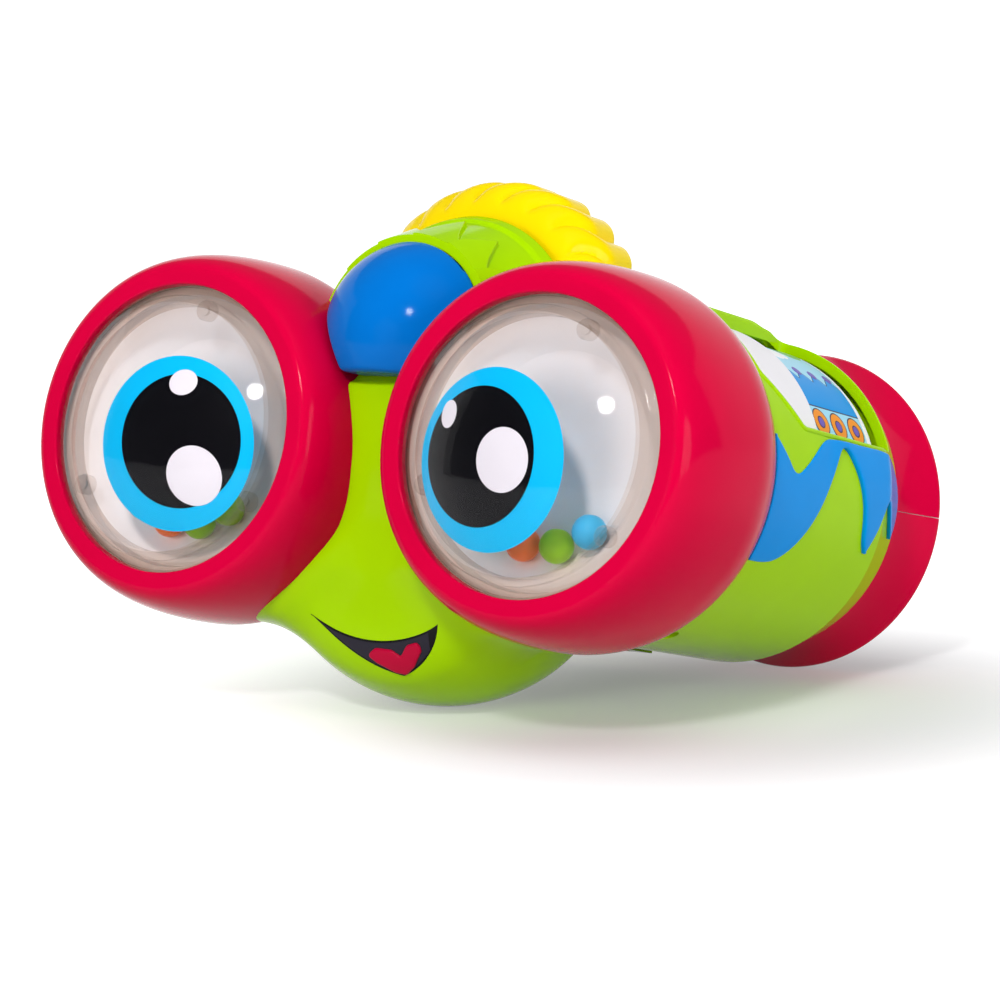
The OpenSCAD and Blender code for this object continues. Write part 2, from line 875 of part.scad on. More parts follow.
module dome_button() {
    color(sky) {
        difference() {
            button_form(0);
            button_form(dome_wall);
        }
        rod(0, dome_z, dome_y - dome_r + dome_wall - fit, stem_end_y, stem_r);
        intersection() {
            button_form(0);
            rod(0, dome_z, bridge_front_y + skirt_depth - dome_wall, bridge_front_y + skirt_depth, dome_r);
        }
    }
}

// A round wire swept along the spring's helix; each end is flattened by a closing half turn
spring_steps = spring_turns * spring_rings;
spring_pitch = (spring_rear_y - spring_front_y) / spring_turns;

function spring_centre(k) =
    let (a = 360 * k / spring_rings)
    [spring_r * cos(a), spring_front_y + spring_pitch * k / spring_rings, dome_z + spring_r * sin(a)];

function spring_ring(k) =
    let (a = 360 * k / spring_rings, c = spring_centre(k))
    [for (j = [0 : spring_sides - 1])
        let (b = 360 * j / spring_sides, out = spring_wire_r * cos(b))
        c + [out * cos(a), spring_wire_r * sin(b), out * sin(a)]];

spring_points = [for (k = [0 : spring_steps]) each spring_ring(k)];

function spring_index(k, j) = k * spring_sides + j % spring_sides;

spring_faces = concat(
    [for (k = [0 : spring_steps - 1], j = [0 : spring_sides - 1])
        each [
            [spring_index(k, j), spring_index(k, j + 1), spring_index(k + 1, j + 1)],
            [spring_index(k, j), spring_index(k + 1, j + 1), spring_index(k + 1, j)]
        ]],
    [for (j = [1 : spring_sides - 2]) [0, spring_index(0, j + 1), spring_index(0, j)]],
    [for (j = [1 : spring_sides - 2])
        [spring_index(spring_steps, 0), spring_index(spring_steps, j), spring_index(spring_steps, j + 1)]]
);

spring_self_gap = min([
    for (k = [0 : spring_steps - spring_rings])
        norm(spring_centre(k) - spring_centre(k + spring_rings)) - 2 * spring_wire_r
]);

module button_spring() {
    echo(least_gap_of_the_spring_to_itself = spring_self_gap);
    color(steel) polyhedron(spring_points, spring_faces);
}

module button_switch() {
    color(black_plastic) {
        block(-switch_w * mid, switch_w * mid, switch_y, web_y - fit,
            dome_z - switch_w * mid, dome_z + switch_w * mid);
        rod(0, dome_z, switch_y - plunger_t, switch_y + fit, plunger_r);
    }
}

// Wheel

module wheel_envelope() {
    spin_y(0, wheel_z) polygon(concat(
        [[0, wheel_face_y]],
        quarter([wheel_face_r, wheel_rim_y + wheel_edge], wheel_r - wheel_face_r,
            wheel_rim_y + wheel_edge - wheel_face_y, -90, 0),
        [[wheel_r, wheel_rear_y - wheel_edge], [wheel_r - wheel_edge, wheel_rear_y], [0, wheel_rear_y]]
    ));
}

module focus_wheel() {
    color(sun) difference() {
        intersection() {
            union() {
                rod(0, wheel_z, wheel_face_y - over, wheel_rear_y + over, wheel_valley_r);
                for (k = [0 : wheel_lobes - 1])
                    let (a = first_valley + (k + mid) * lobe_step)
                    rod(lobe_ring_r * cos(a), wheel_z + lobe_ring_r * sin(a),
                        wheel_face_y, wheel_rear_y + over, lobe_r);
            }
            wheel_envelope();
        }
        difference() {
            rod(0, wheel_z, wheel_recess_y, wheel_rear_y + over, wheel_valley_r - shell_wall);
            rod(0, wheel_z, wheel_recess_y - over, wheel_rear_y + over, hub_r);
        }
        rod(0, wheel_z, wheel_face_y - over, wheel_rear_y + over, axle_r + run);
    }
}

module wheel_axle() {
    color(steel) rod(0, wheel_z, axle_front_y, rear_web_y + rear_web_t, axle_r);
}

// A leaf that curves just under the lobes, on a foot that stands on a post of the lower shell
module click_spring() {
    color(steel) {
        translate([0, click_y + click_w * mid, wheel_z]) rotate([90, 0, 0])
            rotate([0, 0, low_point - click_sweep * mid]) rotate_extrude(angle = click_sweep)
                translate([click_r, 0]) square([click_t, click_w]);
        block(-click_post_w * mid, click_post_w * mid, click_y - click_w * mid, click_y + click_w * mid,
            click_seat_z, wheel_z - click_r - click_t * mid);
    }
}

// Eyes

module front_bezel(side) {
    color(crimson) sided(side) spin_y(eye_x, 0) difference() {
        polygon(concat(
            [[lip_r, 0], [lip_r + bezel_nose, -bezel_nose]],
            quarter([bezel_flat_r, bezel_shoulder - bezel_nose], bezel_shoulder_r - bezel_flat_r,
                bezel_shoulder, -90, 0),
            [for (k = [0 : curve_steps])
                let (t = k / curve_steps)
                [bezel_bore_r + bezel_bulge * (1 - pow(t, bezel_fullness)),
                    bezel_widest_y + (bezel_tail_y - bezel_widest_y) * t]],
            [[lip_r, bezel_tail_y]]
        ));
        translate([0, flange_y]) square([bezel_bore_r, bezel_tail_y]);
    }
}

module lens(side) {
    color(clear_plastic) sided(side) spin_y(eye_x, 0) {
        intersection() {
            translate([0, lens_centre_y]) difference() {
                circle(r = lens_dome_r);
                circle(r = lens_dome_r - lens_wall);
            }
            translate([0, -lens_rise]) square([lens_r, lens_rise + lens_wall]);
        }
        translate([lens_r - lens_wall, 0]) square([lens_wall, flange_y + lens_wall]);
        translate([lens_r - lens_wall, flange_y]) square([barrel_r - lens_r + lens_wall, lens_wall]);
    }
}

module eye_film(side) {
    inside_r = lens_dome_r - lens_wall - fit;
    color("#14c0f0") sided(side) intersection() {
        difference() {
            translate([eye_x, lens_centre_y, 0]) sphere(r = inside_r);
            translate([eye_x, lens_centre_y, 0]) sphere(r = inside_r - film_t);
        }
        rod(eye_x - iris_in, -iris_drop, -lens_rise, lens_centre_y, iris_r);
    }
}

module chamber_dish(side) {
    color(white_plastic) sided(side) spin_y(eye_x, 0) {
        translate([dish_r, dish_y]) square([barrel_r - dish_r, dish_wall]);
        translate([dish_r, dish_y]) square([dish_wall, dish_depth + dish_wall]);
        translate([0, dish_floor_y]) square([dish_r + dish_wall, dish_wall]);
    }
}

// Loose beads, lying side by side at the bottom of the dish
module beads(side) {
    color("orange") sided(side)
        for (k = [0 : bead_count - 1])
            let (a = low_point + (k - (bead_count - 1) * mid) * bead_step)
            translate([eye_x + bead_ring_r * cos(a), bead_y, bead_ring_r * sin(a)]) sphere(r = bead_r);
}

// Picture drums

// White lining that shows in the window ahead of the drum
module window_liner(side) {
    color(white_plastic) sided(side) intersection() {
        difference() {
            rod(eye_x, 0, liner_front_y, liner_rear_y, liner_r);
            rod(eye_x, 0, liner_front_y - over, liner_rear_y + over, liner_r - liner_t);
        }
        block(eye_x, reach, 0, reach, fit, reach);
    }
}

module picture_drum(side) {
    first_pin = side > 0 ? right_pin : left_pin;
    color(white_plastic) {
        sided(side) spin_y(eye_x, 0) {
            translate([axle_r + run, drum_front_y]) square([drum_r - axle_r - run, drum_wall]);
            translate([drum_r - drum_wall, drum_front_y]) square([drum_wall, drum_rear_y - drum_front_y]);
            translate([axle_r + run, hub_front_y]) square([hub_r - axle_r - run, hub_rear_y - hub_front_y]);
        }
        for (k = [0 : drum_pins - 1])
            let (a = first_pin + k * pin_step)
            rod(side * eye_x + pin_ring_r * cos(a), pin_ring_r * sin(a),
                pin_front_y, drum_front_y + fit, pin_r);
    }
}

module picture_band(side) {
    color(sky) sided(side) spin_y(eye_x, 0)
        translate([drum_r + fit, drum_front_y + band_margin])
            square([band_r - drum_r - fit, drum_rear_y - drum_front_y - 2 * band_margin]);
}

module drum_axle(side) {
    color(steel) sided(side) rod(eye_x, 0, bulkhead_y, body_rear_y, axle_r);
}

// Raised trim with claws, wrapped round the outer side of the barrel. Each corner is given as
// shares of the barrel's length behind the bezel and of its radius.
trim_shares = [
    [0, 0.24], [0.142, 0.062], [0.385, 0.288], [0.55, 0.3], [0.77, 0.3], [0.9, 0.235], [0.955, 0.09],
    [0.955, -0.05], [0.92, -0.195], [0.853, -0.1], [0.806, 0], [0.763, -0.106], [0.715, -0.305],
    [0.667, -0.2], [0.631, -0.028], [0.562, 0.152], [0.486, 0.225], [0.415, 0.121], [0.348, -0.083],
    [0.296, -0.234], [0.235, -0.35], [0.115, -0.455], [0, -0.468]
];
trim_len = body_rear_y - bezel_tail_y - fit;
trim_points = soft_outline(
    [for (p = trim_shares) [bezel_tail_y + fit + p[0] * trim_len, p[1] * barrel_r]], trim_round);

module side_trim(side) {
    color(sky) sided(side) intersection() {
        difference() {
            barrel_form(-trim_t);
            barrel_form(-fit);
        }
        slab_x(eye_x, reach) polygon(trim_points);
    }
}

// Rear cups

module cup_form() {
    flare_share = 1.7;
    lip_y = cup_rear_y - cup_lip_r;
    floor_y = cup_y + cup_floor_t;
    outer_r = cup_r;
    spin_y(eye_x, 0) difference() {
        union() {
            polygon(concat(
                [[0, cup_y]],
                [for (k = [0 : curve_steps])
                    let (t = k / curve_steps)
                    [cup_neck_r + (outer_r - cup_neck_r) * pow(t, flare_share), cup_y + (lip_y - cup_y) * t]],
                [[outer_r - 2 * cup_lip_r, lip_y], [cup_floor_r, floor_y], [0, floor_y]]
            ));
            translate([outer_r - cup_lip_r, lip_y]) circle(r = cup_lip_r);
        }
        translate([0, floor_y - eyepiece_t]) square([eyepiece_r + fit, cup_len]);
        translate([-reach, 0]) square([reach, reach]);
    }
}

module rear_cup_upper(side) {
    color(crimson) sided(side) intersection() {
        cup_form();
        above_seam();
    }
}

module rear_cup_lower(side) {
    color(crimson) sided(side) intersection() {
        cup_form();
        below_seam();
    }
}

module eyepiece_lens(side) {
    lens_y = cup_y + cup_floor_t - eyepiece_t;
    crown_y = lens_y + eyepiece_t - sqrt(eyepiece_crown_r * eyepiece_crown_r - eyepiece_r * eyepiece_r);
    color(clear_plastic) sided(side) spin_y(eye_x, 0) intersection() {
        translate([0, crown_y]) circle(r = eyepiece_crown_r);
        translate([0, lens_y]) square([eyepiece_r, eyepiece_crown_r]);
    }
}

// Electronics

module speaker() {
    color(black_plastic) translate([0, speaker_y, speaker_z]) {
        cylinder(r = speaker_r, h = speaker_t * mid);
        cylinder(r = speaker_r * mid, h = speaker_t);
    }
}

module circuit_board() {
    color(board_green) {
        block(-board_half_w, board_half_w, board_y, board_y + board_len, board_z, board_z + board_t);
        block(-chip_w * mid, chip_w * mid, board_y + chip_w, board_y + 2 * chip_w,
            board_z + board_t, board_z + board_t + chip_t);
    }
}

// A stack of button cells, end to end
module batteries() {
    color(steel) for (k = [0 : battery_count - 1])
        let (cell_y = battery_y + k * (battery_t + fit))
        rod(0, battery_z, cell_y, cell_y + battery_t, battery_r);
}

module battery_contacts() {
    color(steel) for (end_y = [bay_front_y + fit, bay_rear_y - contact_t - fit])
        block(-battery_r * mid, battery_r * mid, end_y, end_y + contact_t,
            battery_z - battery_r * mid, battery_z + battery_r * mid);
}

module battery_door() {
    color(lime) difference() {
        translate([0, 0, box_floor_z]) linear_extrude(shell_wall) door_outline(0);
        translate([door_ear_x, door_ear_y, box_floor_z - over]) {
            cylinder(r = screw_r + fit, h = shell_wall + 2 * over);
            cylinder(r = screw_head_r + fit, h = over + screw_head_t);
        }
    }
}

module battery_door_screw() {
    color(steel) translate([door_ear_x, door_ear_y, box_floor_z]) {
        cylinder(r = screw_head_r, h = screw_head_t);
        cylinder(r = screw_r, h = shell_wall + door_boss);
    }
}

module body_screws() {
    color(steel) screw_places() {
        translate([0, 0, -screw_grip - screw_head_t]) cylinder(r = screw_head_r, h = screw_head_t);
        translate([0, 0, -screw_grip - screw_head_t]) cylinder(r = screw_r, h = 2 * screw_grip);
    }
}

module power_slider() {
    color(black_plastic) {
        block(slider_x - slider_w * mid, slider_x + slider_w * mid,
            slider_y - slider_len * mid, slider_y + slider_len * mid,
            box_floor_z - slider_proud, box_in_z + gap);
        block(slider_x - slider_w * mid - slider_flange, slider_x + slider_w * mid + slider_flange,
            slider_y - slider_len * mid - slider_flange, slider_y + slider_len * mid + slider_flange,
            box_in_z + gap, box_in_z + gap + slider_flange_t);
    }
}

module power_switch() {
    floor_z = box_in_z + gap + slider_flange_t + gap;
    color(steel) block(slider_x - slider_w * mid - slider_flange, -bay_half_w - bay_wall - fit,
        slider_y - power_switch_len * mid + slider_travel * mid,
        slider_y + power_switch_len * mid + slider_travel * mid, floor_z, floor_z + power_switch_h);
}

rested() upper_shell();
rested() lower_shell();
rested() face_shell();
rested() mouth_inlay();
rested() tongue();
rested() bridge_cover();
rested() dome_button();
rested() button_spring();
rested() button_switch();
rested() focus_wheel();
rested() wheel_axle();
rested() click_spring();
rested() front_bezel(-1);  // front_bezel_left
rested() front_bezel(1);  // front_bezel_right
rested() lens(-1);  // lens_left
rested() lens(1);  // lens_right
rested() eye_film(-1);  // eye_film_left
rested() eye_film(1);  // eye_film_right
rested() chamber_dish(-1);  // chamber_dish_left
rested() chamber_dish(1);  // chamber_dish_right
rested() beads(-1);  // beads_left
rested() beads(1);  // beads_right
rested() window_liner(-1);  // window_liner_left
rested() window_liner(1);  // window_liner_right
rested() picture_drum(-1);  // picture_drum_left
rested() picture_drum(1);  // picture_drum_right
rested() picture_band(-1);  // picture_band_left
rested() picture_band(1);  // picture_band_right
rested() drum_axle(-1);  // drum_axle_left
rested() drum_axle(1);  // drum_axle_right
rested() side_trim(-1);  // side_trim_left
rested() side_trim(1);  // side_trim_right
rested() rear_cup_upper(-1);  // rear_cup_upper_left
rested() rear_cup_upper(1);  // rear_cup_upper_right
rested() rear_cup_lower(-1);  // rear_cup_lower_left
rested() rear_cup_lower(1);  // rear_cup_lower_right
rested() eyepiece_lens(-1);  // eyepiece_lens_left
rested() eyepiece_lens(1);  // eyepiece_lens_right
rested() speaker();
rested() circuit_board();
rested() batteries();
rested() battery_contacts();
rested() battery_door();
rested() battery_door_screw();
rested() body_screws();
rested() power_slider();
rested() power_switch();
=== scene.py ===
import json
import math

import bmesh
import bpy
import numpy as np
from mathutils import Matrix, Vector
from mathutils.geometry import delaunay_2d_cdt


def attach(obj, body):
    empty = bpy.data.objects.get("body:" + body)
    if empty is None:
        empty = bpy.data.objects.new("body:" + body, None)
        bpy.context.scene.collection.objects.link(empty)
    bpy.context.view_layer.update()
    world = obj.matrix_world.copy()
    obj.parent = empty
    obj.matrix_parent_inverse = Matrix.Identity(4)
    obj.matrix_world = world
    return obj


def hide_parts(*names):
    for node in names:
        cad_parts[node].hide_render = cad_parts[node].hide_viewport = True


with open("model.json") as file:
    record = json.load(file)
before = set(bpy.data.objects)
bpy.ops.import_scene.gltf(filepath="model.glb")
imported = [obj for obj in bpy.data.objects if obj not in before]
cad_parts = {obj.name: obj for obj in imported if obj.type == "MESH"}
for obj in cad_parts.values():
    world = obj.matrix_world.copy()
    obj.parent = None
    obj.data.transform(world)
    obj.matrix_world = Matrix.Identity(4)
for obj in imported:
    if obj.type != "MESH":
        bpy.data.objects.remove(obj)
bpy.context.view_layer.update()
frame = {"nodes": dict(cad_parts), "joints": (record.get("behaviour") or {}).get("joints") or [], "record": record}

# The toy's own frame, in millimetres: x to the right, y back along the barrels, z up
MM = 0.001
BEAD_Y = 8.3
joints = {j["name"]: j for j in frame["joints"]}
back = Vector(joints["wheel_spin"]["axis"]).normalized()
right = Vector((1, 0, 0))
eyes = [Vector(joints["beads_roll_" + side]["pos_m"]) for side in ("left", "right")]
origin = (eyes[0] + eyes[1]) / 2 - back * BEAD_Y * MM
turned = Matrix((right, back, right.cross(back))).transposed().to_4x4()
TOY = Matrix.Translation(origin) @ turned @ Matrix.Scale(MM, 4)
EYE_X = (eyes[1].x - eyes[0].x) / 2 / MM
SIDES = {"left": -1, "right": 1}
ROOT = "toy_body"

# Driving sizes
BARREL_R = 35.2
LIP_R = 29.9
FLAT_R = 32.9
BORE_R = 35.25
BEZEL_R = 38.54
BEZEL_NOSE = 0.4
WIDEST_Y = 22.8
TAIL_Y = 35.4
FLANGE_Y = 2.2
LENS_R = 29.5
LENS_WALL = 1.8
DOME_LENS_R = 50
SKIN = 0.02
LENS_CENTRE_Y = math.sqrt(DOME_LENS_R**2 - LENS_R**2)
REAR_Y = 94
SHELL_WALL = 2
TAPER_LEN = 11.5
TAPER_DROP = 3.6
TAPER_Y = REAR_Y - TAPER_LEN
DRUM_REAR_Y = 86
DRUM_CLEAR = 0.4


def taper_at(y):
    """How much the barrel has drawn in at y."""
    return TAPER_DROP * np.maximum(0, y - TAPER_Y) / TAPER_LEN


# Colours and materials

GRAIN_SCALE = 1400
GRAIN_HEIGHT = 0.0002
GLOSS_DRIFT = 0.15
SOFT_DEPTH = 0.002
HAZE_SCALE = 260
HAZE_SPREAD = 0.02
MIRROR_POWER = 5


def linear(rgb):
    """An sRGB colour of 0 to 255 as linear red, green, blue and alpha."""
    parts = [c / 255 for c in rgb]
    return [c / 12.92 if c <= 0.04045 else ((c + 0.055) / 1.055) ** 2.4 for c in parts] + [1]


def shade(rgb, share):
    """The colour in linear values, made lighter or darker by a share."""
    return [min(1, c * share) for c in linear(rgb)[:3]] + [1]


def surface(name, rgb, rough=0.11, spread=0.05, grain=0.012, metal=0, soft=0, scale=90, shine=0.09):
    """A moulded or painted surface: its colour drifts a little, its gloss varies and it has a fine grain."""
    paint = bpy.data.materials.new(name)
    paint.use_nodes = True
    nodes, links = paint.node_tree.nodes, paint.node_tree.links
    body = nodes["Principled BSDF"]
    place = nodes.new("ShaderNodeTexCoord")
    drift = nodes.new("ShaderNodeTexNoise")
    drift.inputs["Scale"].default_value = scale
    drift.inputs["Detail"].default_value = 3
    links.new(place.outputs["Object"], drift.inputs["Vector"])
    mix = nodes.new("ShaderNodeMix")
    mix.data_type = "RGBA"
    mix.inputs[6].default_value = shade(rgb, 1 - spread)
    mix.inputs[7].default_value = shade(rgb, 1 + spread)
    links.new(drift.outputs["Fac"], mix.inputs[0])
    links.new(mix.outputs[2], body.inputs["Base Color"])
    fine = nodes.new("ShaderNodeTexNoise")
    fine.inputs["Scale"].default_value = GRAIN_SCALE
    fine.inputs["Detail"].default_value = 2
    links.new(place.outputs["Object"], fine.inputs["Vector"])
    gloss = nodes.new("ShaderNodeMapRange")
    gloss.inputs["To Min"].default_value = rough * (1 - GLOSS_DRIFT)
    gloss.inputs["To Max"].default_value = rough * (1 + GLOSS_DRIFT)
    links.new(drift.outputs["Fac"], gloss.inputs["Value"])
    links.new(gloss.outputs["Result"], body.inputs["Roughness"])
    bump = nodes.new("ShaderNodeBump")
    bump.inputs["Strength"].default_value = grain
    bump.inputs["Distance"].default_value = GRAIN_HEIGHT
    links.new(fine.outputs["Fac"], bump.inputs["Height"])
    links.new(bump.outputs["Normal"], body.inputs["Normal"])
    body.inputs["Metallic"].default_value = metal
    body.inputs["Specular IOR Level"].default_value = shine
    body.inputs["Subsurface Weight"].default_value = soft
    body.inputs["Subsurface Radius"].default_value = (SOFT_DEPTH, SOFT_DEPTH, SOFT_DEPTH)
    return paint


def clear(name, tint, rough, mirror):
    """Thin clear plastic: it lets the light straight through and mirrors it by its angle."""
    paint = bpy.data.materials.new(name)
    paint.use_nodes = True
    nodes, links = paint.node_tree.nodes, paint.node_tree.links
    nodes.remove(nodes["Principled BSDF"])
    place = nodes.new("ShaderNodeTexCoord")
    haze = nodes.new("ShaderNodeTexNoise")
    haze.inputs["Scale"].default_value = HAZE_SCALE
    links.new(place.outputs["Object"], haze.inputs["Vector"])
    mix = nodes.new("ShaderNodeMix")
    mix.data_type = "RGBA"
    mix.inputs[6].default_value = shade(tint, 1 - HAZE_SPREAD)
    mix.inputs[7].default_value = shade(tint, 1)
    links.new(haze.outputs["Fac"], mix.inputs[0])
    through = nodes.new("ShaderNodeBsdfTransparent")
    links.new(mix.outputs[2], through.inputs["Color"])
    gloss = nodes.new("ShaderNodeBsdfGlossy")
    gloss.inputs["Roughness"].default_value = rough
    lean = nodes.new("ShaderNodeLayerWeight")
    lean.inputs["Blend"].default_value = 0.5
    rise = nodes.new("ShaderNodeMath")
    rise.operation = "POWER"
    rise.inputs[1].default_value = MIRROR_POWER
    links.new(lean.outputs["Facing"], rise.inputs[0])
    rim = nodes.new("ShaderNodeMapRange")
    rim.inputs["To Min"].default_value = mirror
    links.new(rise.outputs[0], rim.inputs["Value"])
    both = nodes.new("ShaderNodeMixShader")
    links.new(rim.outputs["Result"], both.inputs[0])
    links.new(through.outputs["BSDF"], both.inputs[1])
    links.new(gloss.outputs["BSDF"], both.inputs[2])
    links.new(both.outputs["Shader"], nodes["Material Output"].inputs["Surface"])
    return paint


LIME = surface("lime", (166, 216, 0), shine=0.05)
CRIMSON = surface("crimson", (212, 0, 58), shine=0.05)
BLUE = surface("blue", (0, 112, 202), shine=0.06)
SKY = surface("sky", (0, 146, 230), shine=0.05)
YELLOW = surface("yellow", (250, 218, 0))
WHITE = surface("white", (243, 240, 243), rough=0.35, spread=0.02, soft=0.1)
DISH = surface("dish", (250, 243, 241), rough=0.4, spread=0.03, scale=40)
BLACK = surface("black", (16, 16, 16), rough=0.3, spread=0.15)
MOUTH = surface("mouth", (42, 40, 50), rough=0.35, spread=0.1)
TONGUE = surface("tongue", (185, 6, 54), rough=0.3)
IRIS = surface("iris", (0, 192, 250), rough=0.4, spread=0.03, shine=0.05)
PUPIL = surface("pupil", (6, 5, 10), rough=0.4, spread=0.2, shine=0.03)
SPARK = surface("spark", (238, 234, 242), rough=0.35, spread=0.01)
PRINT = surface("print", (244, 243, 248), rough=0.35, spread=0.02)
CLEAR = clear("clear", (255, 254, 254), 0.03, 0.008)
# The lens's outer ring is clear plastic with a warm, darker tint: painted shade for the darkening that refraction
# in its thick wall gives.
RING_SHADE = clear("rim", (242, 235, 230), 0.06, 0.03)
BOSS = clear("boss", (250, 247, 245), 0.06, 0.04)
EYEPIECE = clear("eyepiece", (150, 156, 168), 0.03, 0.06)
STEEL = surface("steel", (190, 190, 195), rough=0.3, metal=1, spread=0.08)
BOARD = surface("board", (30, 110, 60), rough=0.45, spread=0.2, scale=500)
BEADS = [
    surface("bead_" + name, rgb, rough=0.3, soft=0.15)
    for name, rgb in (("green", (150, 205, 40)), ("blue", (70, 185, 230)), ("orange", (250, 125, 60)))
]
SLOT_PAINT = {
    "lime_plastic": LIME,
    "crimson_plastic": CRIMSON,
    "blue_plastic": BLUE,
    "yellow_plastic": YELLOW,
    "white_plastic": WHITE,
    "clear_plastic": CLEAR,
    "black_plastic": BLACK,
    "tongue_plastic": TONGUE,
    "eye_print": IRIS,
    "picture_print": PRINT,
    "bead_plastic": BEADS[2],
    "spring_steel": STEEL,
    "board": BOARD,
}
for part in frame["record"]["subparts"]:
    mesh = frame["nodes"][part["node"]].data
    mesh.materials.clear()
    mesh.materials.append(EYEPIECE if "eyepiece" in part["node"] else SLOT_PAINT[part["material_slot"]])


# Mesh helpers

WELD = 1e-7
LEG_SHARE = 0.49
LEAST_TURN = 0.05
CUT_SHARE = 0.25
LEAST_STEP = 0.02
EDGE_STEPS = 4
GRID_MARGIN_SHARE = 0.45
HALVINGS = 34


class Form:
    """Points, faces and paint numbers of one piece."""

    def __init__(self):
        self.points, self.faces, self.paint = [], [], []

    def put(self, points, faces, paint=0):
        start = len(self.points)
        self.points += [tuple(p) for p in points]
        self.faces += [[start + i for i in face] for face in faces]
        self.paint += [paint] * len(faces)
        return self


def finish_piece(name, form, body, paints, replaced=(), sharp=38):
    """A shown piece from a form in the toy's frame, riding on one body."""
    mesh = bpy.data.meshes.new(name)
    mesh.from_pydata(form.points, [], form.faces)
    for paint in paints:
        mesh.materials.append(paint)
    mesh.polygons.foreach_set("material_index", form.paint)
    mesh.transform(TOY)
    work = bmesh.new()
    work.from_mesh(mesh)
    bmesh.ops.remove_doubles(work, verts=work.verts, dist=WELD)
    bmesh.ops.recalc_face_normals(work, faces=work.faces)
    work.to_mesh(mesh)
    work.free()
    mesh.shade_smooth()
    mesh.set_sharp_from_angle(angle=math.radians(sharp))
    piece = bpy.data.objects.new(name, mesh)
    bpy.context.scene.collection.objects.link(piece)
    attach(piece, body)
    if replaced:
        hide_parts(*replaced)
    return piece


def soften(corners, steps=6):
    """A closed outline from corners (u, v, radius), each rounded by its radius."""
    out = []
    for i, (u, v, radius) in enumerate(corners):
        here = np.array((u, v))
        legs = []
        for other in (corners[i - 1], corners[(i + 1) % len(corners)]):
            leg = np.array(other[:2]) - here
            size = np.linalg.norm(leg)
            legs.append((leg / size, size))
        half = math.acos(max(-1, min(1, float(legs[0][0] @ legs[1][0])))) / 2
        cut = min(radius / max(math.tan(half), LEAST_TURN), LEG_SHARE * legs[0][1], LEG_SHARE * legs[1][1])
        if cut <= 0:
            out.append(tuple(here))
            continue
        first, last = here + legs[0][0] * cut, here + legs[1][0] * cut
        for k in range(steps + 1):
            t = k / steps
            out.append(tuple((1 - t) ** 2 * first + 2 * t * (1 - t) * here + t * t * last))
    return out


def flow(corners, rounds=4):
    """A closed, flowing outline: corners (u, v, hold) are cut again and again, less where hold is set."""
    points = []
    for u, v, hold in corners:
        points += [np.array((u, v))] * (3 if hold else 1)
    for _ in range(rounds):
        cut = []
        for here, after in zip(points, points[1:] + points[:1]):
            cut += [here + (after - here) * CUT_SHARE, after + (here - after) * CUT_SHARE]
        points = cut
    out = []
    for p in points:
        if not out or np.linalg.norm(p - out[-1]) > LEAST_STEP:
            out.append(p)
    return [tuple(p) for p in out]


def dense(outline, pitch):
    """The same closed outline with points no further apart than pitch."""
    out = []
    for i, here in enumerate(outline):
        here, after = np.array(here), np.array(outline[(i + 1) % len(outline)])
        count = max(1, math.ceil(np.linalg.norm(after - here) / pitch))
        out += [tuple(here + (after - here) * k / count) for k in range(count)]
    return out


def inset(outline, depth):
    """A closed outline that runs counterclockwise, moved inwards by depth."""
    points = np.array(outline)
    ahead = np.roll(points, -1, 0) - points
    ahead /= np.linalg.norm(ahead, axis=1)[:, None] + 1e-12
    normal = np.stack([-ahead[:, 1], ahead[:, 0]], 1)
    mean = normal + np.roll(normal, 1, 0)
    mean /= np.linalg.norm(mean, axis=1)[:, None] + 1e-12
    lean = np.clip((mean * normal).sum(1), 0.5, 1)
    return points + mean * (depth / lean)[:, None]


def counterclockwise(outline):
    points = np.array(outline)
    after = np.roll(points, -1, 0)
    area = (points[:, 0] * after[:, 1] - points[:, 1] * after[:, 0]).sum()
    return [tuple(p) for p in (points if area > 0 else points[::-1])]


def inside(points, outline):
    """Which points lie inside a closed outline."""
    out = np.zeros(len(points), bool)
    for (u0, v0), (u1, v1) in zip(outline, np.roll(outline, -1, 0)):
        if v0 == v1:
            continue
        crosses = (v0 > points[:, 1]) != (v1 > points[:, 1])
        out ^= crosses & (points[:, 0] < (u1 - u0) * (points[:, 1] - v0) / (v1 - v0) + u0)
    return out


def pad(outline, height, edge, sink, pitch, place):
    """A pad with a rounded edge over an outline, laid on a surface by place(u, v, h)."""
    outline = dense(counterclockwise(outline), pitch)
    count = len(outline)
    levels = [(0, -sink)]
    for a in np.linspace(0, math.pi / 2, EDGE_STEPS + 1):
        levels.append((edge * (1 - math.cos(a)), height - edge + edge * math.sin(a)))
    rings = [inset(outline, shift) for shift, h in levels]
    flat = [(u, v, h) for ring, (shift, h) in zip(rings, levels) for u, v in ring]
    faces = []
    for row in range(len(rings) - 1):
        for i in range(count):
            j = (i + 1) % count
            a, b = row * count, (row + 1) * count
            faces.append((a + i, a + j, b + j, b + i))
    top = rings[-1]
    low, high = top.min(0), top.max(0)
    columns, rows = (np.arange(low[i], high[i], pitch) for i in range(2))
    grid = np.array([(u, v) for u in columns for v in rows])
    if len(grid):
        grid = grid[inside(grid, inset(top, pitch * GRID_MARGIN_SHARE))]
    spots = [Vector(p) for p in top] + [Vector(p) for p in grid]
    rim = [(i, (i + 1) % count) for i in range(count)]
    verts, _, cells, *_ = delaunay_2d_cdt(spots, rim, [], 1, 1e-5)
    start = len(flat)
    flat += [(v.x, v.y, height) for v in verts]
    faces += [[start + i for i in cell] for cell in cells]
    return place(*np.array(flat).T), faces


def turned_faces(steps, count, whole=True):
    """Quads between copies of a closed profile of count points that stand round an axis."""
    faces = []
    for i in range(steps if whole else steps - 1):
        j = (i + 1) % steps
        for k in range(count):
            m = (k + 1) % count
            faces.append((i * count + k, i * count + m, j * count + m, j * count + k))
    return faces


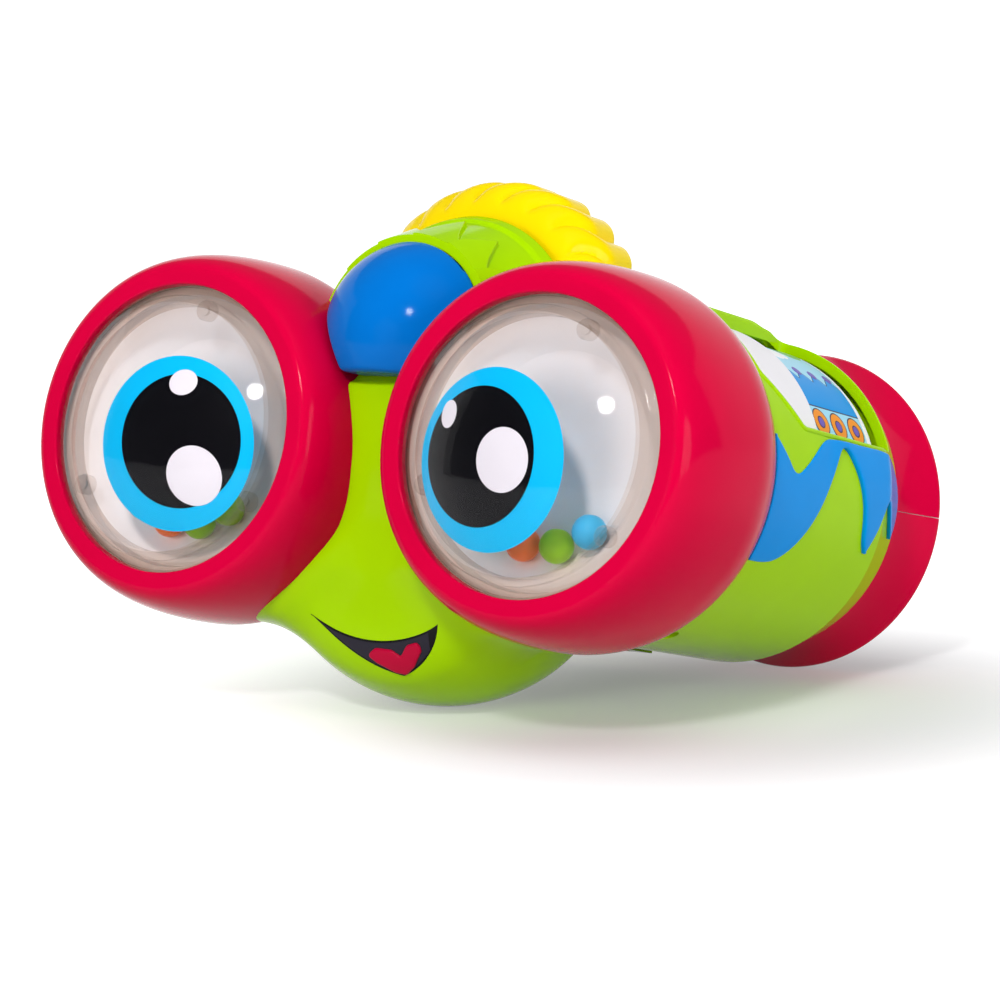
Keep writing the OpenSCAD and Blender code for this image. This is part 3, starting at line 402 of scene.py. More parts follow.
def lathe(profile, centre, steps=160, span=(0, 360)):
    """A closed profile of (r, y) turned about the axis through centre (x, z)."""
    whole = span[1] - span[0] == 360
    count = len(profile)
    angles = np.radians(np.linspace(span[0], span[1], steps, endpoint=not whole))
    points = [
        (centre[0] + r * math.cos(a), y, centre[1] + r * math.sin(a)) for a in angles for r, y in profile
    ]
    faces = turned_faces(steps, count, whole)
    if not whole:
        faces += [list(range(count)), list(range((steps - 1) * count, steps * count))]
    return points, faces


def grid_faces(rows, columns, wrap=False):
    """Quads of a sheet of rows by columns of points."""
    out = []
    for i in range(rows - 1):
        for k in range(columns if wrap else columns - 1):
            m = (k + 1) % columns
            out.append((i * columns + k, i * columns + m, (i + 1) * columns + m, (i + 1) * columns + k))
    return out


def star(field, centre, far, pole, rows, columns):
    """The surface where field is zero, found along rays from a point inside it."""
    tilt = np.linspace(0, math.pi, rows + 1)[1:-1]
    turn = np.linspace(0, 2 * math.pi, columns, endpoint=False)
    tilt, turn = np.meshgrid(tilt, turn, indexing="ij")
    main, one, two = np.cos(tilt), np.sin(tilt) * np.cos(turn), np.sin(tilt) * np.sin(turn)
    order = {"x": (main, one, two), "y": (one, main, two), "z": (one, two, main)}[pole]
    rays = np.stack([part.ravel() for part in order], 1)
    tip = np.eye(3)["xyz".index(pole)]
    rays = np.vstack([rays, tip, -tip])
    low, high = np.zeros(len(rays)), np.full(len(rays), float(far))
    for _ in range(HALVINGS):
        middle = (low + high) / 2
        held = field(centre + rays * middle[:, None]) < 0
        low, high = np.where(held, middle, low), np.where(held, high, middle)
    points = centre + rays * low[:, None]
    faces = grid_faces(rows - 1, columns, wrap=True)
    last = (rows - 2) * columns
    for k in range(columns):
        m = (k + 1) % columns
        faces += [(len(rays) - 2, m, k), (len(rays) - 1, last + k, last + m)]
    return points, faces


def smooth_max(a, b, k):
    share = np.clip(0.5 + 0.5 * (a - b) / k, 0, 1)
    return b + (a - b) * share + k * share * (1 - share)


def smooth_min(a, b, k):
    return -smooth_max(-a, -b, k)


def step(low, high, value):
    """0 below low, 1 above high and smooth between them."""
    t = np.clip((value - low) / (high - low), 0, 1)
    return t * t * (3 - 2 * t)


# Bezels

BEZEL_POWER = 2.22
BEZEL_STEPS = 22
TAIL_POWER = 2.2
TAIL_STEPS = 18


def bezel_radius(y):
    """Outer radius of a bezel at y."""
    y = np.asarray(y, float)
    ahead = np.clip((WIDEST_Y - y) / (WIDEST_Y + BEZEL_NOSE), 0, 1)
    front = FLAT_R + (BEZEL_R - FLAT_R) * (1 - ahead**BEZEL_POWER) ** (1 / BEZEL_POWER)
    behind = np.clip((y - WIDEST_Y) / (TAIL_Y - WIDEST_Y), 0, 1)
    rear = BORE_R + (BEZEL_R - BORE_R) * (1 - behind**TAIL_POWER)
    return np.where(y < WIDEST_Y, front, rear)


LIP_ROUND = 0.55
crown = soften(
    [(LIP_R, FLANGE_Y, 0), (LIP_R, -BEZEL_NOSE, LIP_ROUND), (FLAT_R, -BEZEL_NOSE, 0), (FLAT_R, FLANGE_Y, 0)]
)[:-1]
front_ys = 1 - np.cos(np.linspace(0, math.pi / 2, BEZEL_STEPS)[1:])
front_ys = -BEZEL_NOSE + (WIDEST_Y + BEZEL_NOSE) * front_ys
tail_ys = np.sin(np.linspace(0, math.pi / 2, TAIL_STEPS)[1:])
tail_ys = WIDEST_Y + (TAIL_Y - WIDEST_Y) * tail_ys
bezel_run = [(float(bezel_radius(y)), y) for y in [*front_ys, *tail_ys]]
bezel_profile = crown + bezel_run + [(BORE_R, FLANGE_Y)]
for side, way in SIDES.items():
    form = Form().put(*lathe(bezel_profile, (way * EYE_X, 0)))
    finish_piece("bezel_" + side, form, ROOT, [CRIMSON], ["front_bezel_" + side])


# Eyes: dish, beads, print and lens

DISH_FLOOR_Y = 12.2
DISH_WALL = 1.2
DISH_FLAT_R = 18.5
DISH_RIM_R = 28.4
DISH_Y = FLANGE_Y + LENS_WALL
DISH_OUT_R = BORE_R - 0.5
BOWL_STEPS = 16
bowl = [
    (DISH_FLAT_R + (DISH_RIM_R - DISH_FLAT_R) * math.sin(a), DISH_Y + (DISH_FLOOR_Y - DISH_Y) * math.cos(a))
    for a in np.linspace(0, math.pi / 2, BOWL_STEPS)
]
dish_profile = (
    [(0, DISH_FLOOR_Y), (DISH_FLAT_R / 2, DISH_FLOOR_Y)]
    + bowl
    + [(DISH_OUT_R, DISH_Y), (DISH_OUT_R, DISH_Y + DISH_WALL), (DISH_RIM_R + DISH_WALL, DISH_Y + DISH_WALL)]
    + [(DISH_FLAT_R, DISH_FLOOR_Y + DISH_WALL), (0, DISH_FLOOR_Y + DISH_WALL)]
)
RING_R = 27.5
RING_IN_R = RING_R - LENS_WALL
RING_DROP = 0.35
RING_ROUNDS = (0.3, 0.4)
RING_FEET = (0.3, 0.2)
LENS_OUT_R = BORE_R - 0.4
LENS_SEAT = 0.05
LENS_STEPS = 24
RIM_MARGIN = 0.1


def lens_y(r, wall=0):
    return LENS_CENTRE_Y + SKIN - math.sqrt((DOME_LENS_R - wall) ** 2 - r * r)


lens_rs = RING_R * np.sin(np.linspace(0, math.pi / 2, LENS_STEPS))
lens_profile = (
    [(r, lens_y(r)) for r in lens_rs]
    + soften(
        [
            (RING_R, lens_y(RING_R) + RING_FEET[0], 0),
            (RING_R, RING_DROP, RING_ROUNDS[0]),
            (LENS_R, RING_DROP, RING_ROUNDS[1]),
            (LENS_R, FLANGE_Y, 0),
            (LENS_OUT_R, FLANGE_Y + LENS_SEAT, 0),
            (LENS_OUT_R, DISH_Y - LENS_SEAT, 0),
            (RING_IN_R, DISH_Y - LENS_SEAT, RING_ROUNDS[1]),
            (RING_IN_R, lens_y(RING_IN_R, LENS_WALL) + RING_FEET[1], 0),
        ]
    )
    + [(r, lens_y(r, LENS_WALL)) for r in lens_rs[::-1] * RING_IN_R / RING_R]
)
BOSS_R = 2.1
BOSS_PIT_R = 1.1
BOSS_FRONT_Y = 0.4
BOSS_PIT_Y = 1.2
BOSS_REAR_Y = 2.6
BOSS_ROUNDS = (0.3, 0.4)
BOSS_STEPS = 32
BOSS_RING_R = 25.2
BOSS_ANGLES = {"left": (78, -34, -150), "right": (66, -41, -160)}
boss_profile = soften(
    [
        (0, BOSS_PIT_Y, 0),
        (BOSS_PIT_R, BOSS_PIT_Y, BOSS_ROUNDS[0]),
        (BOSS_PIT_R, BOSS_FRONT_Y, 0),
        (BOSS_R, BOSS_FRONT_Y, BOSS_ROUNDS[1]),
        (BOSS_R, BOSS_REAR_Y, 0),
        (0, BOSS_REAR_Y, 0),
    ]
)

IRIS_R = 17.9
IRIS_IN = 5.4
IRIS_DROP = 3.5
PUPIL_R = 13.7
PUPIL_IN = 7.2
PUPIL_DROP = 3.1
FILM_SPHERE_R = DOME_LENS_R - LENS_WALL - LENS_SEAT
FILM_T = 0.3
INK_STEP = 0.06
SPARKS = {
    "left": ((4.3, -6.9, 6.0, 6.0), (0.0, 11.9, 3.2, 2.7)),
    "right": ((6.6, -0.65, 6.0, 6.3), (-8.4, 8.0, 2.2, 2.8)),
}


def cap_disc(way, x0, z0, a, b, lift, rings=14, steps=96):
    """An oval patch (x0, z0 from the eye's axis) on the sphere of the eye print."""
    radius = FILM_SPHERE_R - FILM_T + lift
    points = []
    for s in np.linspace(0, 1, rings + 1):
        for t in np.linspace(0, 2 * math.pi, steps, endpoint=False):
            x, z = x0 + a * s * math.cos(t), z0 + b * s * math.sin(t)
            points.append((way * EYE_X + x, LENS_CENTRE_Y - math.sqrt(radius**2 - x * x - z * z), z))
    return points, grid_faces(rings + 1, steps, wrap=True)


BEAD_R = 3.5
BEAD_RING_R = 18.9
BEAD_STEP = 23.82
BEAD_FIRST = -90 - 1.5 * BEAD_STEP
BEAD_RIDGE = 0.03
BEAD_RIDGE_W = 0.06
BEAD_GATE = 0.12
BEAD_GATE_W = 0.22
BEAD_COLOURS = {"left": (1, 2, 0, 0), "right": (0, 2, 0, 1)}


def bead(centre, radius=BEAD_R, rows=24, columns=36):
    """A moulded bead with a faint parting ridge and a small gate mark."""
    points = []
    for i in range(rows + 1):
        tilt = math.pi * i / rows
        ridge = BEAD_RIDGE * math.exp(-(((tilt - math.pi / 2) / BEAD_RIDGE_W) ** 2))
        gate = BEAD_GATE * math.exp(-((tilt / BEAD_GATE_W) ** 2))
        for k in range(columns):
            turn = 2 * math.pi * k / columns
            r = radius - BEAD_RIDGE + ridge - gate
            points.append(
                (
                    centre[0] + r * math.sin(tilt) * math.cos(turn),
                    centre[1] + r * math.sin(tilt) * math.sin(turn),
                    centre[2] + r * math.cos(tilt),
                )
            )
    return points, grid_faces(rows + 1, columns, wrap=True)


for side, way in SIDES.items():
    form = Form().put(*lathe(dish_profile, (way * EYE_X, 0)))
    finish_piece("dish_" + side, form, ROOT, [DISH], ["chamber_dish_" + side])
    form = Form().put(*lathe(lens_profile, (way * EYE_X, 0)))
    reach = [math.hypot(x - way * EYE_X, z) for x, y, z in form.points]
    # Faces outside the ring's inner radius take the tinted ring paint, painted shade of the thick wall; the rest
    # stays plain clear.
    form.paint = [int(min(reach[i] for i in face) > RING_IN_R - RIM_MARGIN) for face in form.faces]
    finish_piece("clear_lens_" + side, form, ROOT, [CLEAR, RING_SHADE], ["lens_" + side])
    form = Form()
    for angle in BOSS_ANGLES[side]:
        a = math.radians(angle)
        spot = (way * EYE_X + BOSS_RING_R * math.cos(a), BOSS_RING_R * math.sin(a))
        form.put(*lathe(boss_profile, spot, steps=BOSS_STEPS))
    finish_piece("lens_bosses_" + side, form, ROOT, [BOSS])
    form = Form().put(*cap_disc(way, -way * IRIS_IN, -IRIS_DROP, IRIS_R, IRIS_R, 0), 0)
    x0, z0 = -way * PUPIL_IN, -PUPIL_DROP
    form.put(*cap_disc(way, x0, z0, PUPIL_R, PUPIL_R, INK_STEP), 1)
    for dx, dz, a, b in SPARKS[side]:
        form.put(*cap_disc(way, x0 + dx, z0 + dz, a, b, 2 * INK_STEP), 2)
    finish_piece("eye_" + side, form, ROOT, [IRIS, PUPIL, SPARK], ["eye_film_" + side])
    form = Form()
    for k, colour in enumerate(BEAD_COLOURS[side]):
        a = math.radians(BEAD_FIRST + k * BEAD_STEP)
        centre = (way * EYE_X + BEAD_RING_R * math.cos(a), BEAD_Y, BEAD_RING_R * math.sin(a))
        form.put(*bead(centre), colour)
    finish_piece("loose_beads_" + side, form, "bead_group_" + side, BEADS, ["beads_" + side])


# Face, mouth and tongue

CHIN_R = 38
CHIN = np.array((0, 40, -13.0))
CHIN_REAR_Y = 57.6
FACE_Y = 10.9
FACE_TOP_Z = 12.1
FACE_SLOPE = 0.15
FACE_DEPTH = 14
FOOT_CUT = 0.5 + SKIN / 2
FACE_BLEND = 5.0
COLUMN_HALF_W = 12
COLUMN_LOW_Z = -24
COLUMN_ROUND = 1.5
COLUMN_BLEND = 3.0
COLUMN_FADE = 4
COLUMN_FADE_DROPS = (4, 22)
FLARE_Y = 26
FLARE_HALF_W = 9
FLARE_ROUND = 6
FLARE_INSET = 1.0
FLARE_BLENDS = (0.5, 12.5)
FLARE_BLEND_DROPS = (12, 27)
BEZEL_OVERLAP = 2.6
FACE_ROWS = (150, 260)
FACE_REACH = 70
NORMAL_STEP = 0.2
SEARCH_FROM_Y = -10.0
PITCH = math.atan2(-back.z, back.y)


def face_field(p):
    """Below zero inside the face: a chin that runs up between the eyes and out to the bezels."""
    x, y, z = p.T
    chin = np.linalg.norm(p - CHIN, axis=1) - CHIN_R
    front = (FACE_Y + FACE_SLOPE * (FACE_TOP_Z - z) - y) / math.hypot(1, FACE_SLOPE)
    body = smooth_max(chin, front, FACE_BLEND)
    column = smooth_max(front, z - FACE_TOP_Z, COLUMN_ROUND)
    column = np.maximum(column, np.abs(x) - COLUMN_HALF_W)
    column = np.maximum(column, np.maximum(y - FACE_Y - FACE_DEPTH, COLUMN_LOW_Z - z))
    column = column + COLUMN_FADE * step(*COLUMN_FADE_DROPS, -z)
    body = smooth_min(body, column, COLUMN_BLEND)
    blend = FLARE_BLENDS[0] + (FLARE_BLENDS[1] - FLARE_BLENDS[0]) * step(*FLARE_BLEND_DROPS, -z)
    outside = [np.hypot(x - way * EYE_X, z) - bezel_radius(y) for way in SIDES.values()]
    for gap in outside:
        ring = smooth_max(gap + FLARE_INSET, np.abs(y - FLARE_Y) - FLARE_HALF_W, FLARE_ROUND)
        body = smooth_min(body, ring, blend)
    for gap in outside:
        body = np.maximum(body, -gap - BEZEL_OVERLAP)
    body = smooth_max(body, y - CHIN_REAR_Y, FACE_BLEND)
    tip = (z - CHIN[2]) * math.cos(PITCH) + (CHIN[1] - y) * math.sin(PITCH)
    return np.maximum(body, -tip - CHIN_R + FOOT_CUT)


def front_of(x, z):
    """The y of the face's front at x, z."""
    low, high = np.full(len(x), SEARCH_FROM_Y), np.full(len(x), CHIN[1])
    for _ in range(HALVINGS):
        middle = (low + high) / 2
        held = face_field(np.stack([x, middle, z], 1)) < 0
        low, high = np.where(held, low, middle), np.where(held, middle, high)
    return low


def on_face(x, z, h):
    """Points at heights h above the face's front at x, z."""
    y = front_of(x, z)
    across = (front_of(x + NORMAL_STEP, z) - y) / NORMAL_STEP
    up = (front_of(x, z + NORMAL_STEP) - y) / NORMAL_STEP
    normal = np.stack([across, -np.ones(len(x)), up], 1)
    normal /= np.linalg.norm(normal, axis=1)[:, None]
    return np.stack([x, y, z], 1) + normal * h[:, None]


finish_piece(
    "face",
    Form().put(*star(face_field, CHIN, FACE_REACH, "x", *FACE_ROWS)),
    ROOT,
    [LIME],
    ["face_shell"],
    sharp=50,
)

MOUTH_HALF_W = 15.8
MOUTH_DROP = 35
MOUTH_SAG_TOP = 4.3
MOUTH_SAG_LOW = 10.8
MOUTH_STEPS = 48
# Height, rounded edge, sink and pitch of a pad
MOUTH_EDGE_PAD = (0.1, 0.08, 0.6, 0.7)
MOUTH_FLOOR_PAD = (0.14, 0.02, 0.2, 0.7)
MOUTH_FLOOR_MARGINS = (0.42, 2.6)
TONGUE_PAD = (0.6, 0.42, 0.4, 0.45)
MOUTH_BENDS = ((-1, 0), (-0.28, 0.86), (0.36, 1), (0.88, 0.71), (1, 0))
mouth_r = (MOUTH_HALF_W**2 + MOUTH_SAG_TOP**2) / (2 * MOUTH_SAG_TOP)


def bend(a, b, c, steps):
    return [
        tuple(np.array(a) * (1 - t) ** 2 + np.array(b) * 2 * t * (1 - t) + np.array(c) * t * t)
        for t in np.linspace(0, 1, steps)
    ]


low_edge = bend(*MOUTH_BENDS[:3], 20) + bend(*MOUTH_BENDS[2:], 16)[1:]
low_x, low_share = np.array(low_edge).T


def mouth_outline(margin, corner):
    """The mouth's outline, drawn in by a margin and by more at its corners."""
    half = MOUTH_HALF_W - corner
    low, top = [], []
    for x in half * np.sin(np.linspace(-math.pi / 2, math.pi / 2, MOUTH_STEPS)):
        sag = MOUTH_SAG_LOW * np.interp(x / MOUTH_HALF_W, low_x, low_share)
        low.append((x, -MOUTH_DROP - sag + margin))
        top.append((x, -MOUTH_DROP - MOUTH_SAG_TOP + mouth_r - math.sqrt(mouth_r**2 - x * x) - margin))
    return low[1:-1] + top[::-1]


form = Form().put(*pad(mouth_outline(0, 0), *MOUTH_EDGE_PAD, on_face), 0)
form.put(*pad(mouth_outline(*MOUTH_FLOOR_MARGINS), *MOUTH_FLOOR_PAD, on_face), 1)
finish_piece("mouth", form, ROOT, [BLACK, MOUTH], ["mouth_inlay"])

HEART = [
    (-2.0, -42.3, 1.0),
    (0.2, -40.7, 1.6),
    (4.2, -40.8, 1.4),
    (6.3, -41.9, 0.3),
    (8.0, -39.6, 1.4),
    (10.6, -38.8, 1.2),
    (11.4, -40.4, 1.2),
    (9.0, -43.7, 1.8),
    (6.6, -45.4, 1.0),
    (4.4, -45.2, 1.0),
    (0.4, -43.7, 1.8),
]
form = Form().put(*pad(soften(HEART), *TONGUE_PAD, on_face))
finish_piece("tongue_pad", form, ROOT, [TONGUE], ["tongue"])


# Bridge and dome button

BRIDGE_Z = 23.4
BRIDGE_Y = (17.2, 38.4)
BRIDGE_R = (19.3, 27.4)
BRIDGE_RIM_W = 3.4
BRIDGE_RIM_H = 0.8
BRIDGE_RIM_SLOPES = (0.6, 0.2)
BRIDGE_RIM_DROP = 0.5
BRIDGE_RIM_ROUND = 0.8
BRIDGE_SINK = 1.0
BRIDGE_WALLS = (0.6, 2.0)
BRIDGE_WALL_SHARES = (0.1, 0.35)
BRIDGE_CUT_SPAN = (-60.0, 90.0)
BRIDGE_ROWS = 110
BRIDGE_COLUMNS = 300
LEAF_H = 1.5
LEAF_LEN = 14
LEAF_ROOT = 4
LEAF_STEP = 25
LEAF_FIRST = 16
LEAF_TIP_SHARE = 0.7
LEAF_POWERS = (1.4, 0.8)
LEAF_DRIFT = 0.08
LEAF_DRIFT_TURN = 3
LEAF_TILT_SHARE = 0.25
LEAF_EDGE = 0.7
LEAF_FADE = 2


def bridge_cut(y, radius):
    """The angle at which the bridge meets the bezel, just inside it."""
    low, high = BRIDGE_CUT_SPAN
    for _ in range(HALVINGS):
        middle = (low + high) / 2
        a = math.radians(middle)
        gone = math.hypot(radius * math.cos(a) - EYE_X, BRIDGE_Z + radius * math.sin(a))
        if gone < float(max(bezel_radius(y), BARREL_R)) - BRIDGE_SINK:
            low = middle
        else:
            high = middle
    return high


def bridge_relief(angles, y):
    """Height of the bridge's rear rim and of its leaves, which overlap like petals and point back."""
    rim_y = BRIDGE_Y[1] - BRIDGE_RIM_W
    rim = BRIDGE_RIM_H * step(rim_y - BRIDGE_RIM_SLOPES[0], rim_y + BRIDGE_RIM_SLOPES[1], y)
    rim -= BRIDGE_RIM_DROP * step(BRIDGE_Y[1] - BRIDGE_RIM_ROUND, BRIDGE_Y[1], y)
    place = (angles - LEAF_FIRST) / LEAF_STEP
    along = place % 1
    tip = LEAF_LEN * (1 - LEAF_DRIFT + LEAF_DRIFT * np.cos(LEAF_DRIFT_TURN * np.floor(place)))
    rise = (along / LEAF_TIP_SHARE) ** LEAF_POWERS[0]
    fall = ((1 - along) / (1 - LEAF_TIP_SHARE)) ** LEAF_POWERS[1]
    share = np.where(along < LEAF_TIP_SHARE, rise, fall)
    edge = BRIDGE_Y[0] + LEAF_ROOT + (tip - LEAF_ROOT) * share
    height = LEAF_H * (1 - LEAF_TILT_SHARE + LEAF_TILT_SHARE * along)
    leaf = height * step(edge + LEAF_EDGE, edge - LEAF_EDGE, y)
    return rim + leaf * step(rim_y, rim_y - LEAF_FADE, y)


def bridge_sheet(outer):
    """The outer side of the bridge's wall, with its relief, or the plain inner side."""
    rows = []
    for t in np.linspace(0, 1, BRIDGE_ROWS):
        y = BRIDGE_Y[0] + (BRIDGE_Y[1] - BRIDGE_Y[0]) * t
        radius = BRIDGE_R[0] + (BRIDGE_R[1] - BRIDGE_R[0]) * t
        if not outer:
            radius -= np.interp(t, BRIDGE_WALL_SHARES, BRIDGE_WALLS)
        low = bridge_cut(y, radius)
        angles = np.linspace(low, 180 - low, BRIDGE_COLUMNS)
        r = radius + bridge_relief(angles, y) if outer else np.full(BRIDGE_COLUMNS, radius)
        a = np.radians(angles)
        rows.append(np.stack([r * np.cos(a), np.full(BRIDGE_COLUMNS, y), BRIDGE_Z + r * np.sin(a)], 1))
    return np.vstack(rows)


outer = BRIDGE_ROWS * BRIDGE_COLUMNS
last = outer - BRIDGE_COLUMNS
faces = grid_faces(BRIDGE_ROWS, BRIDGE_COLUMNS)
faces += [[outer + i for i in face[::-1]] for face in faces]
for start in (0, last):
    for k in range(start, start + BRIDGE_COLUMNS - 1):
        faces.append((k, k + 1, outer + k + 1, outer + k))
form = Form().put(np.vstack([bridge_sheet(True), bridge_sheet(False)]), faces)
finish_piece("bridge", form, ROOT, [LIME], ["bridge_cover"])

DOME_R = 20.2
DOME_Y = 23.8
DOME_FLOOR_Z = 14
SKIRT_R = 18.2
SKIRT_END_Y = 23.2
SKIRT_LEAD = 0.6
SKIRT_ROUND = 0.3
BUTTON_TRAVEL = 2
TRAVEL_SPARE = 0.3
DOME_GAP = 0.5
DOME_ROUND = 1.0
DOME_ROWS = (160, 240)
DOME_REACH = 40
FAR_INSIDE = -1000
DOME_CORE = np.array((0, 18.0, 24.5))
POCKET_Y = 20.6
POCKET_R = 8.2


def dome_field(p):
    """Below zero inside the button: a ball with a skirt and a spring pocket, cut clear of the bezels."""
    x, y, z = p.T
    ball = np.sqrt(x * x + (y - DOME_Y) ** 2 + (z - BRIDGE_Z) ** 2) - DOME_R
    skirt = np.hypot(x, z - BRIDGE_Z) - SKIRT_R
    ball = np.where(y < DOME_Y, ball, FAR_INSIDE)
    skirt = np.where(y > BRIDGE_Y[0] - SKIRT_LEAD, skirt, FAR_INSIDE)
    body = smooth_max(ball, skirt, SKIRT_ROUND)
    body = np.maximum(body, y - SKIRT_END_Y)
    for way in SIDES.values():
        reach = np.hypot(x - way * EYE_X, z)
        flank = bezel_radius(y + BUTTON_TRAVEL + TRAVEL_SPARE) + DOME_GAP
        body = smooth_max(body, flank - reach, DOME_ROUND)
    cone = POCKET_R * (y - DOME_CORE[1]) / (POCKET_Y - DOME_CORE[1])
    body = np.maximum(body, np.minimum(y - POCKET_Y, cone - np.hypot(x, z - DOME_CORE[2])))
    return smooth_max(body, DOME_FLOOR_Z - z, DOME_ROUND)


form = Form().put(*star(dome_field, DOME_CORE, DOME_REACH, "y", *DOME_ROWS))
finish_piece("dome", form, "button", [BLUE], ["dome_button"], sharp=60)


# Wheel

WHEEL_Z = 28
WHEEL_R = 32.89
WHEEL_FACE_Y = 40.2
WHEEL_REAR_Y = 58
WHEEL_RIM_Y = 48.5
WHEEL_FACE_R = 23.36
WHEEL_BORE_R = 3.2
WHEEL_ROUND_Y = 50
WHEEL_FLAT_Y = 50.8
WHEEL_EDGE = 1.4
WHEEL_BACK_R = 26
WHEEL_PIT_R = 18
WHEEL_PIT_Y = 54
LOBES = 24
LOBE_DEPTH = 2.0
LOBE_POWER = 2.4
LOBE_COLUMNS = 20
LOBE_RUN_R = (WHEEL_FACE_R + 2, WHEEL_R - 1.5)
FIRST_VALLEY = -math.degrees(math.atan2(WHEEL_Z, EYE_X))
LOBE_STEP = 360 / LOBES
SLANT = 9.0
SLANT_RUN_Y = (WHEEL_RIM_Y + 2, WHEEL_FACE_Y + 2.5)


def lobe(angle, y):
    """Share of a lobe's height at an angle and a place along the rim."""
    turned = (angle - FIRST_VALLEY - SLANT * step(*SLANT_RUN_Y, y)) / LOBE_STEP
    spread = abs((turned % 1) - 0.5) * 2
    return 1 - spread**LOBE_POWER


wheel_profile = [(r, WHEEL_FACE_Y) for r in np.linspace(WHEEL_BORE_R, WHEEL_FACE_R, 8)[:-1]]
for a in np.linspace(-math.pi / 2, 0, 22):
    r = WHEEL_FACE_R + (WHEEL_R - WHEEL_FACE_R) * math.cos(a)
    wheel_profile.append((r, WHEEL_ROUND_Y + (WHEEL_ROUND_Y - WHEEL_FACE_Y) * math.sin(a)))
wheel_profile += [(WHEEL_R, y) for y in np.linspace(WHEEL_FLAT_Y, WHEEL_REAR_Y - WHEEL_EDGE, 7)]
for a in np.linspace(0, math.pi / 2, 6)[1:]:
    r = WHEEL_R - WHEEL_EDGE + WHEEL_EDGE * math.cos(a)
    wheel_profile.append((r, WHEEL_REAR_Y - WHEEL_EDGE + WHEEL_EDGE * math.sin(a)))
wheel_profile += [(WHEEL_BACK_R, WHEEL_REAR_Y), (WHEEL_PIT_R, WHEEL_REAR_Y)]
wheel_profile += [(WHEEL_PIT_R, WHEEL_PIT_Y), (WHEEL_BORE_R, WHEEL_PIT_Y)]
wheel_columns = LOBES * LOBE_COLUMNS
profile_r, profile_y = np.array(wheel_profile).T
lobe_share = step(*LOBE_RUN_R, profile_r)
points = []
for k in range(wheel_columns):
    angle = 360 * k / wheel_columns
    a = math.radians(angle)
    radii = profile_r - LOBE_DEPTH * lobe_share * (1 - lobe(angle, profile_y))
    points += zip(radii * math.cos(a), profile_y, WHEEL_Z + radii * math.sin(a))
faces = turned_faces(wheel_columns, len(wheel_profile))
finish_piece("wheel_rim", Form().put(points, faces), "wheel", [YELLOW], ["focus_wheel"])


# Side trims, window rims and picture bands

TRIM_T = 0.9
TRIM_FLAT_T = 0.3
TRIM_EDGE = 0.4
TRIM_PITCH = 0.9
TRIM_FRONT_Y = TAIL_Y + 0.05
CLAW_RUN_Y = (57, 66)
TRIM = [
    (TRIM_FRONT_Y, 8.4, 1),
    (39.5, 5.0, 0),
    (43.8, 0.6, 0),
    (49.4, 4.4, 0),
    (56.2, 10.0, 0),
    (61.0, 10.4, 0),
    (67.5, 10.4, 0),
    (73.6, 10.4, 0),
    (80.6, 10.6, 0),
    (86.5, 9.6, 0),
    (90.6, 5.0, 0),
    (91.6, 0.5, 0),
    (91.0, -4.0, 0),
    (89.6, -7.0, 1),
    (87.2, -4.6, 0),
    (85.0, -2.0, 0),
    (83.0, 1.4, 0),
    (81.0, -2.2, 0),
    (79.6, -6.0, 0),
    (77.1, -10.8, 1),
    (75.0, -8.5, 0),
    (73.6, -4.2, 0),
    (72.4, -0.6, 0),
    (70.6, 3.0, 0),
    (68.0, 6.4, 0),
    (65.0, 9.2, 0),
    (62.4, 8.8, 0),
    (60.2, 5.2, 0),
    (57.6, 0.6, 0),
    (55.4, -3.6, 0),
    (52.6, -8.4, 0),
    (49.0, -12.8, 0),
    (44.5, -15.9, 0),
    (40, -16.6, 0),
    (TRIM_FRONT_Y, -16.6, 1),
]


def around(way, r, a, y):
    """Points at radii r and angles a about the axis of one barrel."""
    return np.stack([way * (EYE_X + r * np.cos(a)), y, r * np.sin(a)], 1)


def on_barrel(way, lift):
    """Places points (y, z, h) on the barrel: height h counts less on the flat front patch."""

    def place(y, z, h):
        share = TRIM_FLAT_T / TRIM_T + (1 - TRIM_FLAT_T / TRIM_T) * step(*CLAW_RUN_Y, y)
        r = BARREL_R - taper_at(y) + lift + h * share
        return around(way, r, np.arcsin(np.clip(z / BARREL_R, -1, 1)), y)

    return place


WINDOW = [(19, 48.4, 2.5), (36, 37, 2.5), (84, 37, 2.5), (84, 88, 2.5), (19, 88, 2.5)]
WINDOW_FAR = (70, 80)
FAR_RISE = 2.4
FAR_FADE = 8
WINDOW_PITCH = 1.2
RIM_SECTION = ((-0.06, -1.9), (-0.06, 0.1), (0.1, 0.3), (0.4, 0.38), (0.7, 0.3), (0.9, 0.1), (0.95, -0.2))


def on_drum(way, radius):
    """Places points (u, y, h) on a picture drum: u runs round it."""

    def place(u, y, h):
        return around(way, radius + h, u / radius, y)

    return place


def on_shell(way):
    """Places points (u, y, h) on the tapered barrel: the rim stands higher at the window's far edge."""

    def place(u, y, h):
        a = u / BARREL_R
        rise = 1 + FAR_RISE * step(*WINDOW_FAR, np.degrees(a)) * step(TAPER_Y, TAPER_Y - FAR_FADE, y)
        return around(way, BARREL_R - taper_at(y) + (h * rise if h > 0 else h), a, y)

    return place


